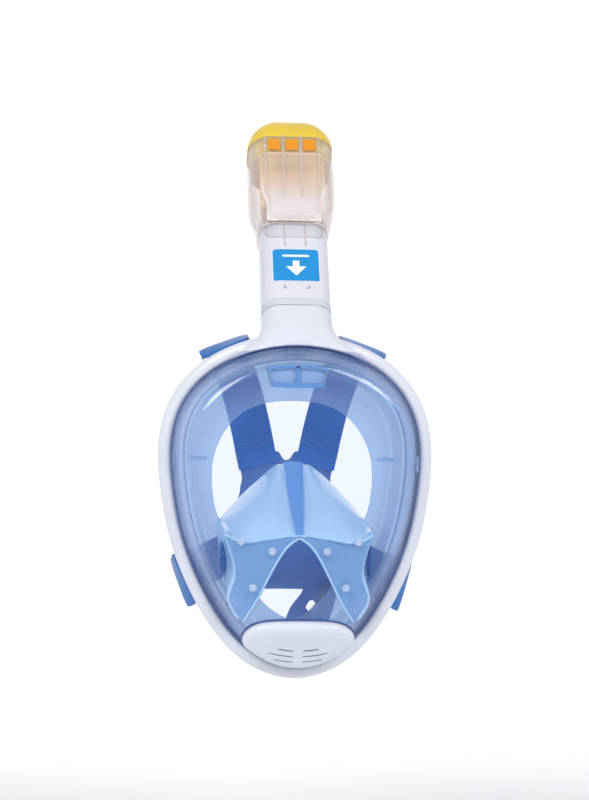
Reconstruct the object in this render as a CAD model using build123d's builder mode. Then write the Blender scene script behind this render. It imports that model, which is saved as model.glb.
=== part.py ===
from build123d import *
import math
import os

# Full-face snorkel mask with its harness, in millimetres.
# The wearer looks towards -Y, +Z is up towards the snorkel, +X is to the right seen from in front.
# "left" and "right" are as seen from in front.
# The modelling frame has its origin on the symmetry plane, at the middle of the front ring's height.
# Every part is saved shifted along Y, which puts the origin on the flat front of the viewport.

os.makedirs("parts", exist_ok=True)

# ---------------------------------------------------------------- driving dimensions
# Ring outline: the radius is a cosine series in the angle from +Z, about a centre at this height.
RING_COEF = (105.30, -0.386, 12.168, -6.644, 0.308, -1.175, 0.635, 0.1)
RING_CENTRE_Z = 10.0
OUTLINE_POINTS = 20
WRAP_RX = 205.0           # the ring wraps round the face on this radius
WRAP_RZ = 600.0           # and bows from forehead to chin on this one

# Insets are measured inwards from the outline, depths rearwards from the wrap surface.
RING_W = 8.6              # width of the white ring seen from in front
RING_FRONT, RING_REAR = -10.0, 8.0
CLAMP_REAR = 14.0         # rear of the clamp ring
POCKET = 4.2              # inset of the pocket for the lens and skirt flanges
POCKET_FRONT = -2.0
FLANGE = POCKET + 0.2     # inset of both flanges
LENS_REAR = 1.0
SKIRT_FRONT, SKIRT_REAR = 1.2, 40.0

LENS_Y = -36.0            # front face of the flat viewport
AIR_SLOT_XY = (-18, 18, 9.9, 17)   # air slot below the neck: left, right, front, rear
AIR_SLOT_Z = (95, 124)

# Across the snorkel: width, depth and corner radius. Along it: distances up its axis.
LEAN = 35.0               # the snorkel leans back this many degrees
TUBE_ORIGIN = Vector(0, 12, 108.5)
TUBE = (48.6, 36.0, 13.5)
TUBE_WALL = 2.0
PLUG_INSET = 1.9          # the tube's plug is this much smaller all round
PLUG_BOTTOM, SEAM, TUBE_BODY, TUBE_TOP = 13.0, 26.0, 31.6, 100.0
HEAD = (62.0, 46.0, 17.0)
HEAD_NECK = (53.0, 46.0, 15.0)     # the head where it grips the tube
HEAD_BOTTOM, CAP_RIM, CAP_TOP = 97.0, 178.0, 202.0
HEAD_TAPER = (114.0, 136.0)        # the head widens between these
BUTTON_HEIGHT = 17.0      # centre of the release button
ROD_R = 2.0               # guide rod of the float
ROD_HOLE_R = ROD_R + 0.08

PIN_R = 1.5               # clip pins
STRAP_W, STRAP_T = 29.0, 1.8
PAD_Y = 103.0             # front face of the rear pad

SIDES = {"left": -1, "right": 1}
REARWARD = Vector(0, 1, 0)


# ---------------------------------------------------------------- ring outline and wrap surface
def ring_xz(angle, inset=0.0):
    """A point of the ring outline, moved inwards. The angle runs from +Z towards +X."""

    def raw(turn):
        radius = sum(coef * math.cos(k * turn) for k, coef in enumerate(RING_COEF))
        return radius * math.sin(turn), RING_CENTRE_Z + radius * math.cos(turn)

    x, z = raw(angle)
    x_before, z_before = raw(angle - 1e-4)
    x_after, z_after = raw(angle + 1e-4)
    run_x, run_z = x_after - x_before, z_after - z_before
    length = math.hypot(run_x, run_z)
    return x + run_z / length * inset, z - run_x / length * inset


def outline(inset):
    return [ring_xz(2 * math.pi * i / OUTLINE_POINTS, inset) for i in range(OUTLINE_POINTS)]


def side_sag(x):
    """How far the wrap surface falls back at x, at mid height."""
    return WRAP_RX - math.sqrt(WRAP_RX**2 - x * x)


def wrap(x, z):
    """Depth of the wrap surface that the ring lies on."""
    return WRAP_RZ - math.sqrt((WRAP_RZ - side_sag(x)) ** 2 - z * z)


def build_wrap_block(half_width=120.0, rear=160, arc=44):
    """Everything behind the wrap surface."""
    edge_y = side_sag(half_width)
    with BuildPart() as body:
        with BuildSketch(Plane.XY):
            with BuildLine():
                ThreePointArc((-half_width, edge_y), (0, 0), (half_width, edge_y))
                Polyline((half_width, edge_y), (half_width, rear), (-half_width, rear),
                         (-half_width, edge_y))
            make_face()
        revolve(axis=Axis((0, WRAP_RZ, 0), (1, 0, 0)), revolution_arc=arc)
    return body.part.rotate(Axis((0, WRAP_RZ, 0), (1, 0, 0)), -arc / 2)


WRAP_BLOCK = build_wrap_block()


def behind(depth):
    """The wrap block moved rearwards. It trims every part that follows the ring."""
    return Pos(0, depth, 0) * WRAP_BLOCK


# ---------------------------------------------------------------- planes
def front_plane(y):
    """A sketch plane at depth y that faces the viewer, with local x = +X and local y = +Z."""
    return Plane(origin=(0, y, 0), x_dir=(1, 0, 0), z_dir=(0, -1, 0))


TUBE_UP = Vector(0, math.sin(math.radians(LEAN)), math.cos(math.radians(LEAN)))
TUBE_AXIS = Axis(TUBE_ORIGIN, TUBE_UP)


def tube_plane(height):
    """A plane across the snorkel, up its axis. Local -Y is the snorkel's front."""
    return Plane(origin=TUBE_ORIGIN + TUBE_UP * height, x_dir=(1, 0, 0), z_dir=TUBE_UP)


TUBE_BACK = tube_plane(0).y_dir


def button_plane(depth):
    """A plane across the release button's axis, facing the snorkel's rear."""
    centre = tube_plane(BUTTON_HEIGHT).from_local_coords(Vector(0, depth, 0))
    return Plane(origin=centre, x_dir=(1, 0, 0), z_dir=TUBE_BACK)


# ---------------------------------------------------------------- solid helpers
def cut(solid):
    """Cuts a solid from the part that is being built."""
    add(solid, mode=Mode.SUBTRACT)


def join(*steps):
    """Adds, cuts or intersects solids in order: '+', '-' or '&' before each one."""
    modes = {"+": Mode.ADD, "-": Mode.SUBTRACT, "&": Mode.INTERSECT}
    with BuildPart() as body:
        for sign, solid in steps:
            add(solid, mode=modes[sign])
    return body.part


def band(outer_inset, inner_inset, front, rear):
    """A ring between two insets of the outline and two offsets of the wrap surface."""
    with BuildPart() as body:
        with BuildSketch(front_plane(-30)):
            with BuildLine():
                Spline(*outline(outer_inset), periodic=True)
            make_face()
            with BuildLine():
                Spline(*outline(inner_inset), periodic=True)
            make_face(mode=Mode.SUBTRACT)
        extrude(amount=-110)
        add(behind(front), mode=Mode.INTERSECT)
        cut(behind(rear))
    return body.part


def tub(*ends):
    """A solid that tapers between two ends, each an inset of the outline and a depth y."""
    with BuildPart() as body:
        for inset, y in ends:
            with BuildSketch(front_plane(y)):
                with BuildLine():
                    Spline(*outline(inset), periodic=True)
                make_face()
        loft()
    return body.part


def block(left, right, front, rear, bottom, top):
    """An axis-aligned box between its limits in x, y and z."""
    with BuildPart() as body:
        with Locations(((left + right) / 2, (front + rear) / 2, (bottom + top) / 2)):
            Box(right - left, rear - front, top - bottom)
    return body.part


def disc(plane, radius, depth):
    with BuildPart() as body:
        with BuildSketch(plane):
            Circle(radius)
        extrude(amount=depth)
    return body.part


def shrink(profile, inset):
    """A rounded rectangle's width, depth and radius, moved inwards all round."""
    width, depth, radius = profile
    return width - 2 * inset, depth - 2 * inset, radius - inset


def prism(start, end, profile, inset=0.0):
    """A rounded bar along the snorkel's axis. A negative inset makes it larger."""
    with BuildPart() as body:
        with BuildSketch(tube_plane(start)):
            RectangleRounded(*shrink(profile, inset))
        extrude(amount=end - start)
    return body.part


def tube_block(left, right, front, rear, start, end):
    """A box in the snorkel's own axes."""
    with BuildPart() as body:
        with BuildSketch(tube_plane(start)):
            with Locations(((left + right) / 2, (front + rear) / 2)):
                Rectangle(right - left, rear - front)
        extrude(amount=end - start)
    return body.part


def button_block(half_width, front, rear, half_height):
    """A box in the snorkel's own axes, centred on the release button's axis."""
    return tube_block(-half_width, half_width, front, rear,
                      BUTTON_HEIGHT - half_height, BUTTON_HEIGHT + half_height)


def mirrored(half):
    """A closed polygon from its right half, which starts and ends on the symmetry line."""
    return list(half) + [(-x, z) for x, z in reversed(half) if abs(x) > 1e-6]


def plate(points, plane, depth, radius=0.0, inset=0.0):
    """A polygon plate with rounded corners, from the plane along its normal."""
    with BuildPart() as body:
        with BuildSketch(plane) as sketch:
            with BuildLine():
                Polyline(*points, close=True)
            make_face()
            if inset:
                offset(amount=-inset, kind=Kind.INTERSECTION)
            if radius:
                fillet(sketch.vertices(), radius)
        extrude(amount=depth)
    return body.part


def save(part, name):
    moved = Pos(0, -LENS_Y, 0) * part
    moved.label = name
    export_step(moved, f"parts/{name}.step")


# ---------------------------------------------------------------- front frame
# Sections of the neck: height up the snorkel, width, depth, corner radius
NECK_SECTIONS = ((-12, 96, 33, 12), (-4, 70, 35, 13), (9, 54, 37.5, 14), (SEAM, 49.8, 37.2, 14.1))
SOCKET = (TUBE[0] - 3.2, TUBE[1] - 3.2, TUBE[2] - 1.5)
RING_EDGE_R = 3.2
LONG_EDGE = 450           # only the ring's own edges are longer than this


def build_neck():
    with BuildPart() as body:
        for height, *profile in NECK_SECTIONS:
            with BuildSketch(tube_plane(height)):
                RectangleRounded(*profile)
        loft()
        # nothing of the neck inside the ring's opening
        with BuildSketch(front_plane(-60)):
            with BuildLine():
                Spline(*outline(RING_W), periodic=True)
            make_face()
        extrude(amount=-160, mode=Mode.SUBTRACT)
    return body.part


NECK = build_neck()


def front_frame():
    """The white ring with the snorkel neck."""
    with BuildPart() as body:
        add(band(0, RING_W, RING_FRONT, RING_REAR))
        # pillowed front edges
        long_edges = body.edges().filter_by(lambda edge: edge.length > LONG_EDGE)
        fillet(long_edges.sort_by(Axis.Y)[0:2], RING_EDGE_R)
        add(NECK)
        # boss for the release button, at the rear of the neck
        add(button_block(13, 15, 25, 7.5))
        # pocket for the lens and skirt flanges, behind the front lip
        cut(band(POCKET, RING_W + 6, POCKET_FRONT, RING_REAR + 30))
        # socket for the snorkel's plug, then the air slot down through the ring
        cut(prism(PLUG_BOTTOM - 0.4, 40, SOCKET))
        cut(block(*AIR_SLOT_XY, *AIR_SLOT_Z))
        # pocket of the release button, and the hole its latch pin goes through
        cut(button_block(7.2, 19.6, 30, 4.2))
        cut(button_block(1.7, 10, 22, 1.7))
    return body.part.solids().sort_by(SortBy.VOLUME)[-1]


# ---------------------------------------------------------------- strap clip hinges
HINGE_ANGLES = {"upper": 25.5, "lower": 130.5}   # round the ring from +Z, in degrees
HINGE_DEPTH = 20.0        # pivots behind the wrap surface
CLIP_REST = 77.0          # rest angle of a clip plate, from outwards towards the rear


class Hinge:
    """A hinge place on the clamp ring, at an angle round the outline."""

    def __init__(self, angle):
        x, z = ring_xz(angle, RING_W / 2)
        x_out, z_out = ring_xz(angle, RING_W / 2 - 1)
        rest = math.radians(CLIP_REST)
        self.pivot = Vector(x, wrap(x, z) + HINGE_DEPTH, z)
        self.outward = Vector(x_out - x, 0, z_out - z).normalized()
        self.along = REARWARD.cross(self.outward)       # along the pin
        self.reach = self.outward * math.cos(rest) + REARWARD * math.sin(rest)
        self.normal = self.along.cross(self.reach)      # of the clip plate

    def plane(self, distance):
        """Across the hinge, at a distance along it. Local x runs along the clip plate."""
        return Plane(origin=self.pivot + self.along * distance, x_dir=self.reach, z_dir=self.along)

    def rear_plane(self, distance):
        """The same, with local x to the rear and local y outwards."""
        return Plane(origin=self.pivot + self.along * distance, x_dir=REARWARD, z_dir=self.along)


HINGES = {f"{level}_{word}": Hinge(side * math.radians(angle))
          for level, angle in HINGE_ANGLES.items() for word, side in SIDES.items()}

# ---------------------------------------------------------------- rear frame
EAR_R, EAR_T = 3.6, 3
EAR_ROOT = 11             # length of an ear forwards of its pivot
EAR_INNER = 15.4          # the inner face of an ear, from the middle of the hinge


def clip_ears():
    with BuildPart() as body:
        for hinge in HINGES.values():
            for start in (-EAR_INNER - EAR_T, EAR_INNER):
                with BuildSketch(hinge.rear_plane(start)):
                    Circle(EAR_R)
                    with Locations((-EAR_ROOT / 2, 0)):
                        Rectangle(EAR_ROOT, 2 * EAR_R)
                    Circle(PIN_R + 0.03, mode=Mode.SUBTRACT)
                extrude(amount=EAR_T)
        # the roots of the ears end inside the ring
        add(behind(RING_REAR + 1.5), mode=Mode.INTERSECT)
    return body.part


def rear_frame():
    """The clamp ring with the clip ears, cut clear of the neck."""
    return join(("+", band(0.5, RING_W, RING_REAR + 0.2, CLAMP_REAR)),
                ("-", prism(-6, 60, (52, 40, 14))), ("-", NECK), ("+", clip_ears()))


# ---------------------------------------------------------------- viewport lens
FACET_NORMAL = Vector(0, -0.762, -0.647)     # chin facet of the lens
FACET_CENTRE = Vector(0, -22.4, -90.0)
LENS_T = 2.4
LENS_INSET = 9.6
LENS_EDGE_R = 10
LENS_BLOCK_REAR = 42
CHIN_HOLE_R = 15.2


def facet_plane(height):
    """Parallel to the chin facet, at a height in front of it. Local y runs up the slope."""
    return Plane(origin=FACET_CENTRE + FACET_NORMAL * height, x_dir=(1, 0, 0), z_dir=FACET_NORMAL)


def facet_disc(radius, start, end):
    return disc(facet_plane(start), radius, end - start)


def facet_cut(height):
    """Everything in front of the facet plane at a height."""
    with BuildPart() as body:
        with BuildSketch(facet_plane(height)):
            Rectangle(240, 140)
        extrude(amount=60)
    return body.part


def lens_block(shell):
    """The lens as a solid block with its chin facet, its surfaces moved inwards by shell."""
    with BuildPart() as body:
        with BuildSketch(front_plane(LENS_BLOCK_REAR)):
            with BuildLine():
                Spline(*outline(LENS_INSET + shell), periodic=True)
            make_face()
        extrude(amount=LENS_BLOCK_REAR - (LENS_Y + shell))
        fillet(body.faces().sort_by(Axis.Y)[0].edges(), LENS_EDGE_R - shell)
        cut(facet_cut(-shell))
    return body.part


def viewport_lens():
    with BuildPart() as body:
        add(lens_block(0))
        cut(lens_block(LENS_T))
        cut(behind(LENS_REAR))
        # flange in the frame's pocket
        add(band(FLANGE, LENS_INSET + 1, POCKET_FRONT + 0.2, LENS_REAR))
        # hole of the chin valve, and the air slot at the top
        cut(facet_disc(CHIN_HOLE_R, -20, 20))
        cut(block(*AIR_SLOT_XY, *AIR_SLOT_Z))
    return body.part


# ---------------------------------------------------------------- face skirt
SKIRT_T = 2.0
SKIRT_ENDS = ((17, 0), (24, 75))   # inset and depth y of the taper's front and rear
# Right half of the opening for the face: x, z
FACE_OPENING = mirrored((
    (0, 74), (20, 72), (36, 65), (48, 52), (55, 36), (57, 18), (55, 0),
    (50, -14), (44, -32), (36, -48), (27, -60), (16, -72), (0, -80)))


def face_hole():
    with BuildPart() as body:
        with BuildSketch(front_plane(0)):
            with BuildLine():
                Spline(*FACE_OPENING, periodic=True)
            make_face()
        extrude(amount=-110)
    return body.part


def face_skirt():
    (front_inset, front_y), (rear_inset, rear_y) = SKIRT_ENDS
    wall = join(("+", tub(*SKIRT_ENDS)), ("&", behind(SKIRT_FRONT)), ("-", behind(SKIRT_REAR)))
    room = join(("+", tub((front_inset + SKIRT_T, front_y - 1), (rear_inset + SKIRT_T, rear_y + 1))),
                ("-", behind(SKIRT_REAR - SKIRT_T)))
    return join(("+", wall), ("-", room), ("-", face_hole()),
                ("+", band(FLANGE, 20, SKIRT_FRONT, RING_REAR)),
                ("-", block(*AIR_SLOT_XY, AIR_SLOT_Z[0] - 3, AIR_SLOT_Z[1])))


# ---------------------------------------------------------------- forehead air duct
# Boxes: left, right, front, rear, bottom, top
DUCT = (-21, 21, 2.5, 18, 81, 112)
DUCT_ROOM = (-19.4, 19.4, 4.1, 16.4, 82.6, 112)
DUCT_BAR = (-19.5, 19.5, 1.3, 3, 83, 85.4)
DUCT_WINDOWS_X = ((-17.6, -1.6), (1.6, 17.6))
DUCT_WINDOWS_YZ = (-5, 6, 86.5, 97.2)


def forehead_duct():
    with BuildPart() as body:
        add(block(*DUCT))
        fillet(body.edges().filter_by(Axis.Y), 2.5)
        # its open top ends on the skirt's flange, where the air slot is
        with BuildSketch(front_plane(0)):
            with BuildLine():
                Spline(*outline(21.1), periodic=True)
            make_face()
        extrude(amount=-30, mode=Mode.INTERSECT)
        cut(block(*DUCT_ROOM))
        for left, right in DUCT_WINDOWS_X:
            cut(block(left, right, *DUCT_WINDOWS_YZ))
        # bar across the front, below both windows
        add(block(*DUCT_BAR))
    return body.part


# ---------------------------------------------------------------- oral nasal cup
CUP_FRONT_Y, CUP_REAR_Y = -30.0, 42.0
CUP_FRONT_T = 1.8
# Right halves of the cup's polygons, outside and inside, at the two depths: x, z
CUP_FRONT = mirrored((
    (0, -16), (32, -21.5), (50, -15.5), (50, -48), (40, -66), (30, -70), (0, -70)))
CUP_REAR = mirrored((
    (0, 32), (24, 10), (50, -10), (50, -48), (34, -60), (17, -62), (0, -64)))
CUP_FRONT_IN = mirrored((
    (0, -18), (32, -23.5), (48, -18.2), (48, -47.5), (38.7, -64.2), (29.6, -68), (0, -68)))
CUP_REAR_IN = mirrored((
    (0, 29.2), (23.2, 7.8), (48, -11.2), (48, -47.2), (33.4, -58), (17, -60), (0, -62)))
# Right half of the V opening in the front panel: x, z
V_OPENING = mirrored((
    (0, -17.5), (9, -26.5), (19.2, -38.5), (28.5, -59), (37.5, -75.5), (10, -82), (0, -82)))
STUDS = ((39.5, -20.5), (18.4, -27), (31.2, -51.5))   # x, z on the right side
STUD_R, STUD_H = 3.4, 1.6
VALVE_Y, VALVE_Z = 5.0, -35.0      # axis of the side valves
VALVE_HOLE_R = 10.2


def cup_loft(*ends):
    """A straight loft between two polygons, each given with its depth y."""
    with BuildPart() as body:
        for points, y in ends:
            with BuildSketch(front_plane(y)):
                with BuildLine():
                    Polyline(*points, close=True)
                make_face()
        loft(ruled=True)
    return body.part


def room_end(y):
    """The cup's inner polygon at depth y, extended in a straight line past its ends."""
    part = (y - CUP_FRONT_Y) / (CUP_REAR_Y - CUP_FRONT_Y)
    points = [(x_front + (x_rear - x_front) * part, z_front + (z_rear - z_front) * part)
              for (x_front, z_front), (x_rear, z_rear) in zip(CUP_FRONT_IN, CUP_REAR_IN)]
    return points, y


def valve_disc(side, radius, start, end):
    """A disc on a side valve's axis between two distances from the symmetry plane."""
    plane = Plane(origin=(side * start, VALVE_Y, VALVE_Z), x_dir=(0, 1, 0), z_dir=(side, 0, 0))
    return disc(plane, radius, end - start)


def oral_nasal_cup():
    with BuildPart() as body:
        add(cup_loft((CUP_FRONT, CUP_FRONT_Y), (CUP_REAR, CUP_REAR_Y)))
        cut(cup_loft(room_end(CUP_FRONT_Y + CUP_FRONT_T), room_end(50)))
        # the chin stays open, and the front panel has a V opening
        cut(block(-30, 30, -60, 60, -90, -50))
        cut(plate(V_OPENING, front_plane(-20), 30))
        # the rear edge follows the face
        cut(behind(SKIRT_REAR - 3))
        for side in SIDES.values():
            cut(valve_disc(side, VALVE_HOLE_R, 40, 60))
    return body.part


def cup_studs():
    with BuildPart() as body:
        for side in SIDES.values():
            for x, z in STUDS:
                with BuildSketch(front_plane(CUP_FRONT_Y - 0.1)):
                    with Locations((side * x, z)):
                        Circle(STUD_R)
                extrude(amount=STUD_H)
    return body.part


# ---------------------------------------------------------------- side inlet valves of the cup
# Discs: radius, then start and end from the symmetry plane
SEAT_RIM = (12, 50.15, 51.4)
SEAT_BODY = (10, 47.9, 50.2)
SEAT_BORE = (8, 47, 52)
FLAP = (9.6, 46.9, 47.7)
SEAT_BAR_L, SEAT_BAR_W = 17, 1.6
SEAT_BAR_X = (48.4, 50)


def inlet_valve_seat(side):
    with BuildPart() as body:
        add(valve_disc(side, *SEAT_RIM))
        add(valve_disc(side, *SEAT_BODY))
        cut(valve_disc(side, *SEAT_BORE))
        # cross bars
        left, right = sorted(side * x for x in SEAT_BAR_X)
        for size_y, size_z in ((SEAT_BAR_L, SEAT_BAR_W), (SEAT_BAR_W, SEAT_BAR_L)):
            add(block(left, right, VALVE_Y - size_y / 2, VALVE_Y + size_y / 2,
                      VALVE_Z - size_z / 2, VALVE_Z + size_z / 2))
    return body.part


def inlet_valve_flap(side):
    """The flap on the inside of the seat, with a straight top edge."""
    return join(("+", valve_disc(side, *FLAP)),
                ("-", block(-60, 60, VALVE_Y - 12, VALVE_Y + 12, VALVE_Z + 9, VALVE_Z + 12)))


# ---------------------------------------------------------------- chin valve
# Heights are measured in front of the chin facet.
SPOKE_START, SPOKE_T = -3.4, 1.8
COVER_START, COVER_T, COVER_WALL = 1.5, 6.5, 1.8
# Right half of the cover: x, distance up the slope
COVER = mirrored((
    (0, 16.7), (17.5, 15.7), (28.5, 10.9), (38, 7), (36.5, 4), (31.7, -1), (21.3, -10),
    (8, -16), (0, -17.3)))
COVER_SLOTS = ((9.2, 1.5), (9.4, -4.2), (7.6, -10.4))   # centres on the right side
COVER_PINS = ((22.5, 4), (-22.5, 4))


def chin_valve_seat():
    with BuildPart() as body:
        # rim, body and bore
        add(facet_disc(16.6, 0.1, 1.4))
        add(facet_disc(15, -4, 0.2))
        cut(facet_disc(12, -5, 3))
        # hub with three spokes
        add(facet_disc(4, SPOKE_START, SPOKE_START + SPOKE_T))
        with BuildSketch(facet_plane(SPOKE_START)):
            with PolarLocations(0, 3):
                with Locations((6.6, 0)):
                    Rectangle(12, 2.2)
        extrude(amount=SPOKE_T)
        cut(facet_disc(1.5, -5, 3))
    return body.part


def chin_valve_diaphragm():
    """The disc, its stem through the hub, and the knob behind the hub."""
    return join(("+", facet_disc(13.4, 1.45, 2.35)), ("+", facet_disc(1.42, -6, 1.5)),
                ("+", facet_disc(2.4, -8, -6)))


def chin_valve_cover():
    with BuildPart() as body:
        add(plate(COVER, facet_plane(COVER_START), COVER_T))
        front_face = body.faces().sort_by(Axis(FACET_CENTRE, FACET_NORMAL))[-1]
        fillet(front_face.edges(), 1.2)
        cut(plate(COVER, facet_plane(-1), COVER_T, inset=COVER_WALL))
        with BuildSketch(facet_plane(4)):
            for side in SIDES.values():
                with Locations(*[(side * x, y) for x, y in COVER_SLOTS]):
                    SlotOverall(13.5, 3.0)
        extrude(amount=6, mode=Mode.SUBTRACT)
        # locating pins that end on the lens
        with BuildSketch(facet_plane(0.15)):
            with Locations(*COVER_PINS):
                Circle(2)
        extrude(amount=6)
    return body.part


# ---------------------------------------------------------------- snorkel tube
CHANNEL_X, CHANNEL_T = 7.4, 1.6    # middle and thickness of the channel walls
CHANNEL_TOP = 85.4
LABEL_START, LABEL_END = 47, 75


def snorkel_tube():
    bore_start = TUBE_BODY + 2
    with BuildPart() as body:
        add(prism(TUBE_BODY, TUBE_TOP, TUBE))
        add(prism(PLUG_BOTTOM, TUBE_BODY + 0.1, TUBE, PLUG_INSET))
        cut(prism(PLUG_BOTTOM - 1, bore_start, TUBE, PLUG_INSET + TUBE_WALL))
        cut(prism(bore_start, TUBE_TOP + 1, TUBE, TUBE_WALL))
        # two channel walls: air in through the middle, out through the sides
        for side in SIDES.values():
            left = side * CHANNEL_X - CHANNEL_T / 2
            right = side * CHANNEL_X + CHANNEL_T / 2
            add(tube_block(left, right, -16.5, 16.5, bore_start, CHANNEL_TOP))
            add(tube_block(left, right, -14.4, 14.4, PLUG_BOTTOM + 3, bore_start))
        # latch hole in the rear of the plug
        cut(button_block(2.2, 9, 20, 2.2))
    return body.part


def tube_gasket():
    return join(("+", prism(SEAM + 0.2, TUBE_BODY - 0.2, TUBE, -0.2)),
                ("-", prism(SEAM, TUBE_BODY, TUBE, PLUG_INSET - 0.05)))


def tube_label():
    """The label field on the tube's front."""
    start, end = LABEL_START - 1, LABEL_END + 1
    return join(("+", prism(LABEL_START, LABEL_END, TUBE, -0.4)),
                ("-", prism(start, end, TUBE, -0.05)),
                ("&", tube_block(-15.5, 15.5, -30, -10, start, end)))


# ---------------------------------------------------------------- insert between tube and head
INSERT_START, INSERT_END = 86, 118
INSERT_INSET, INSERT_WALL = TUBE_WALL + 0.2, 1.8
INSERT_FLOOR = (100.5, 104)


def tube_insert():
    with BuildPart() as body:
        add(prism(INSERT_START, INSERT_END, TUBE, INSERT_INSET))
        cut(prism(INSERT_START - 1, INSERT_END + 1, TUBE, INSERT_INSET + INSERT_WALL))
        add(prism(*INSERT_FLOOR, HEAD_NECK, 2.2))
        # two air holes, with a web between them that carries the guide rod
        for side in SIDES.values():
            cut(tube_block(*sorted((side * 4, side * 19)), -12, 12, 99, 106))
        # front ribs
        for side in SIDES.values():
            add(tube_block(*sorted((side * 6.6, side * 8.0)), -15.0, -12.6, 88, 117))
    return body.part


# ---------------------------------------------------------------- top housing, cap and port plate
WINDOW_PITCH, WINDOW_W = 12.9, 10
WINDOW_START, WINDOW_END = 165, 176
HOUSING_WALL = 2
CAP_WALL = 3.8
PORT_START, PORT_END = 160.8, 163.2
PORT = (27, 17, 6)        # width, depth, corner radius


def head_solid(start, end, inset):
    """The head's outer shape moved inwards."""
    taper_start, taper_end = HEAD_TAPER
    with BuildPart() as body:
        add(prism(start, taper_start, HEAD_NECK, inset))
        with BuildSketch(tube_plane(taper_start)):
            RectangleRounded(*shrink(HEAD_NECK, inset))
        with BuildSketch(tube_plane(taper_end)):
            RectangleRounded(*shrink(HEAD, inset))
        loft()
        add(prism(taper_end, end, HEAD, inset))
    return body.part


def cut_air_windows(margin):
    """Cuts three windows, front and rear, smaller by the margin all round."""
    half = WINDOW_W / 2 - margin
    for x in (-WINDOW_PITCH, 0, WINDOW_PITCH):
        cut(tube_block(x - half, x + half, -40, 40, WINDOW_START + margin, WINDOW_END - margin))


def top_housing():
    with BuildPart() as body:
        add(head_solid(HEAD_BOTTOM, CAP_RIM, 0))
        fillet(body.faces().sort_by(TUBE_AXIS)[0].edges(), 3)
        cut(head_solid(HEAD_BOTTOM + 3.3, CAP_RIM + 1, HOUSING_WALL))
        cut(prism(HEAD_BOTTOM - 1, HEAD_BOTTOM + 5, TUBE, -0.3))
        cut_air_windows(0)
    return body.part


def top_cap():
    """The yellow cap, with a collar down inside the housing."""
    with BuildPart() as body:
        add(prism(CAP_RIM + 0.2, CAP_TOP, HEAD))
        fillet(body.faces().sort_by(TUBE_AXIS)[-1].edges(), 11)
        add(prism(PORT_END + 0.4, CAP_RIM + 0.3, HEAD, HOUSING_WALL + 0.2))
        with BuildPart(mode=Mode.SUBTRACT) as cap_room:
            with BuildSketch(tube_plane(160)):
                RectangleRounded(*shrink(HEAD, CAP_WALL))
            extrude(amount=CAP_TOP - 2.4 - 160)
            fillet(cap_room.faces().sort_by(TUBE_AXIS)[-1].edges(), 9)
        cut_air_windows(0.4)
    return body.part


def port_plate():
    """The plate with the port, and a bar across it."""
    return join(("+", prism(PORT_START, PORT_END, HEAD, HOUSING_WALL + 0.3)),
                ("-", prism(160, 164, PORT)),
                ("+", tube_block(-15, 15, -1.6, 1.6, PORT_START, PORT_END)))


# ---------------------------------------------------------------- float that shuts the port
FLOAT_START, FLOAT_END = 124, 149
FLOAT = (44, 29, 9)       # width, depth, corner radius
SEAL = (34, 24, 8)


def rod(radius, start, end):
    return disc(tube_plane(start), radius, end - start)


def float_body():
    with BuildPart() as body:
        add(prism(FLOAT_START, FLOAT_END, FLOAT))
        fillet(body.faces().sort_by(TUBE_AXIS)[0].edges(), 2.5)
        # raised boss on the front
        add(tube_block(-6, 6, -17, -13, 132, 141))
        cut(rod(ROD_HOLE_R, 120, 152))
    return body.part


def float_seal():
    return join(("+", prism(FLOAT_END + 0.05, 151.8, SEAL)), ("-", rod(ROD_HOLE_R, 148, 153)))


def float_guide_rod():
    return rod(ROD_R, INSERT_FLOOR[1] + 0.05, PORT_START - 0.1)


# ---------------------------------------------------------------- release button and its spring
# Depths are measured rearwards from the snorkel's axis.
BUTTON_FRONT, BUTTON_BACK = 22.6, 27.4
SPRING_FRONT = 20.0
SPRING_R, SPRING_WIRE_R = 2.5, 0.3


def release_button():
    with BuildPart() as body:
        add(button_block(7, BUTTON_FRONT, BUTTON_BACK, 4))
        fillet(body.faces().sort_by(Axis(TUBE_ORIGIN, TUBE_BACK))[-1].edges(), 1)
        # recess for the spring, then the latch pin through the spring
        cut(disc(button_plane(22), 3.4, 3.6))
        add(disc(button_plane(18.8), 1.4, 7.4))
    return body.part


def button_spring():
    with BuildPart() as body:
        with BuildLine():
            wire = Helix(pitch=1.3, height=5.0, radius=SPRING_R,
                         center=button_plane(SPRING_FRONT).origin, direction=TUBE_BACK)
        with BuildSketch(Plane(origin=wire @ 0, z_dir=wire % 0)):
            Circle(SPRING_WIRE_R)
        sweep()
    return body.part


# ---------------------------------------------------------------- strap clips and their pins
BARREL_L, BARREL_R = 30, 3
CLIP_T = 2.4
PIN_L = 36.4


def strap_clip(hinge):
    with BuildPart() as body:
        add(disc(hinge.plane(-BARREL_L / 2), BARREL_R, BARREL_L))
        # plate with a rounded tip and a slot for the strap
        with BuildSketch(Plane(origin=hinge.pivot + hinge.normal * (-CLIP_T / 2),
                               x_dir=hinge.along, z_dir=hinge.normal)):
            with Locations((0, 7.0)):
                Rectangle(BARREL_L, 12)
            with Locations((0, 15.0)):
                RectangleRounded(37, 12, 3.5)
            with Locations((0, 13.2)):
                RectangleRounded(30.4, 4.4, 1, mode=Mode.SUBTRACT)
        extrude(amount=CLIP_T)
        cut(disc(hinge.plane(-16), PIN_R + 0.06, 32))
    return body.part


def clip_pins():
    with BuildPart() as body:
        for hinge in HINGES.values():
            add(disc(hinge.plane(-PIN_L / 2), PIN_R, PIN_L))
    return body.part


# ---------------------------------------------------------------- harness straps
STRAP_STEPS = 10
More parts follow.
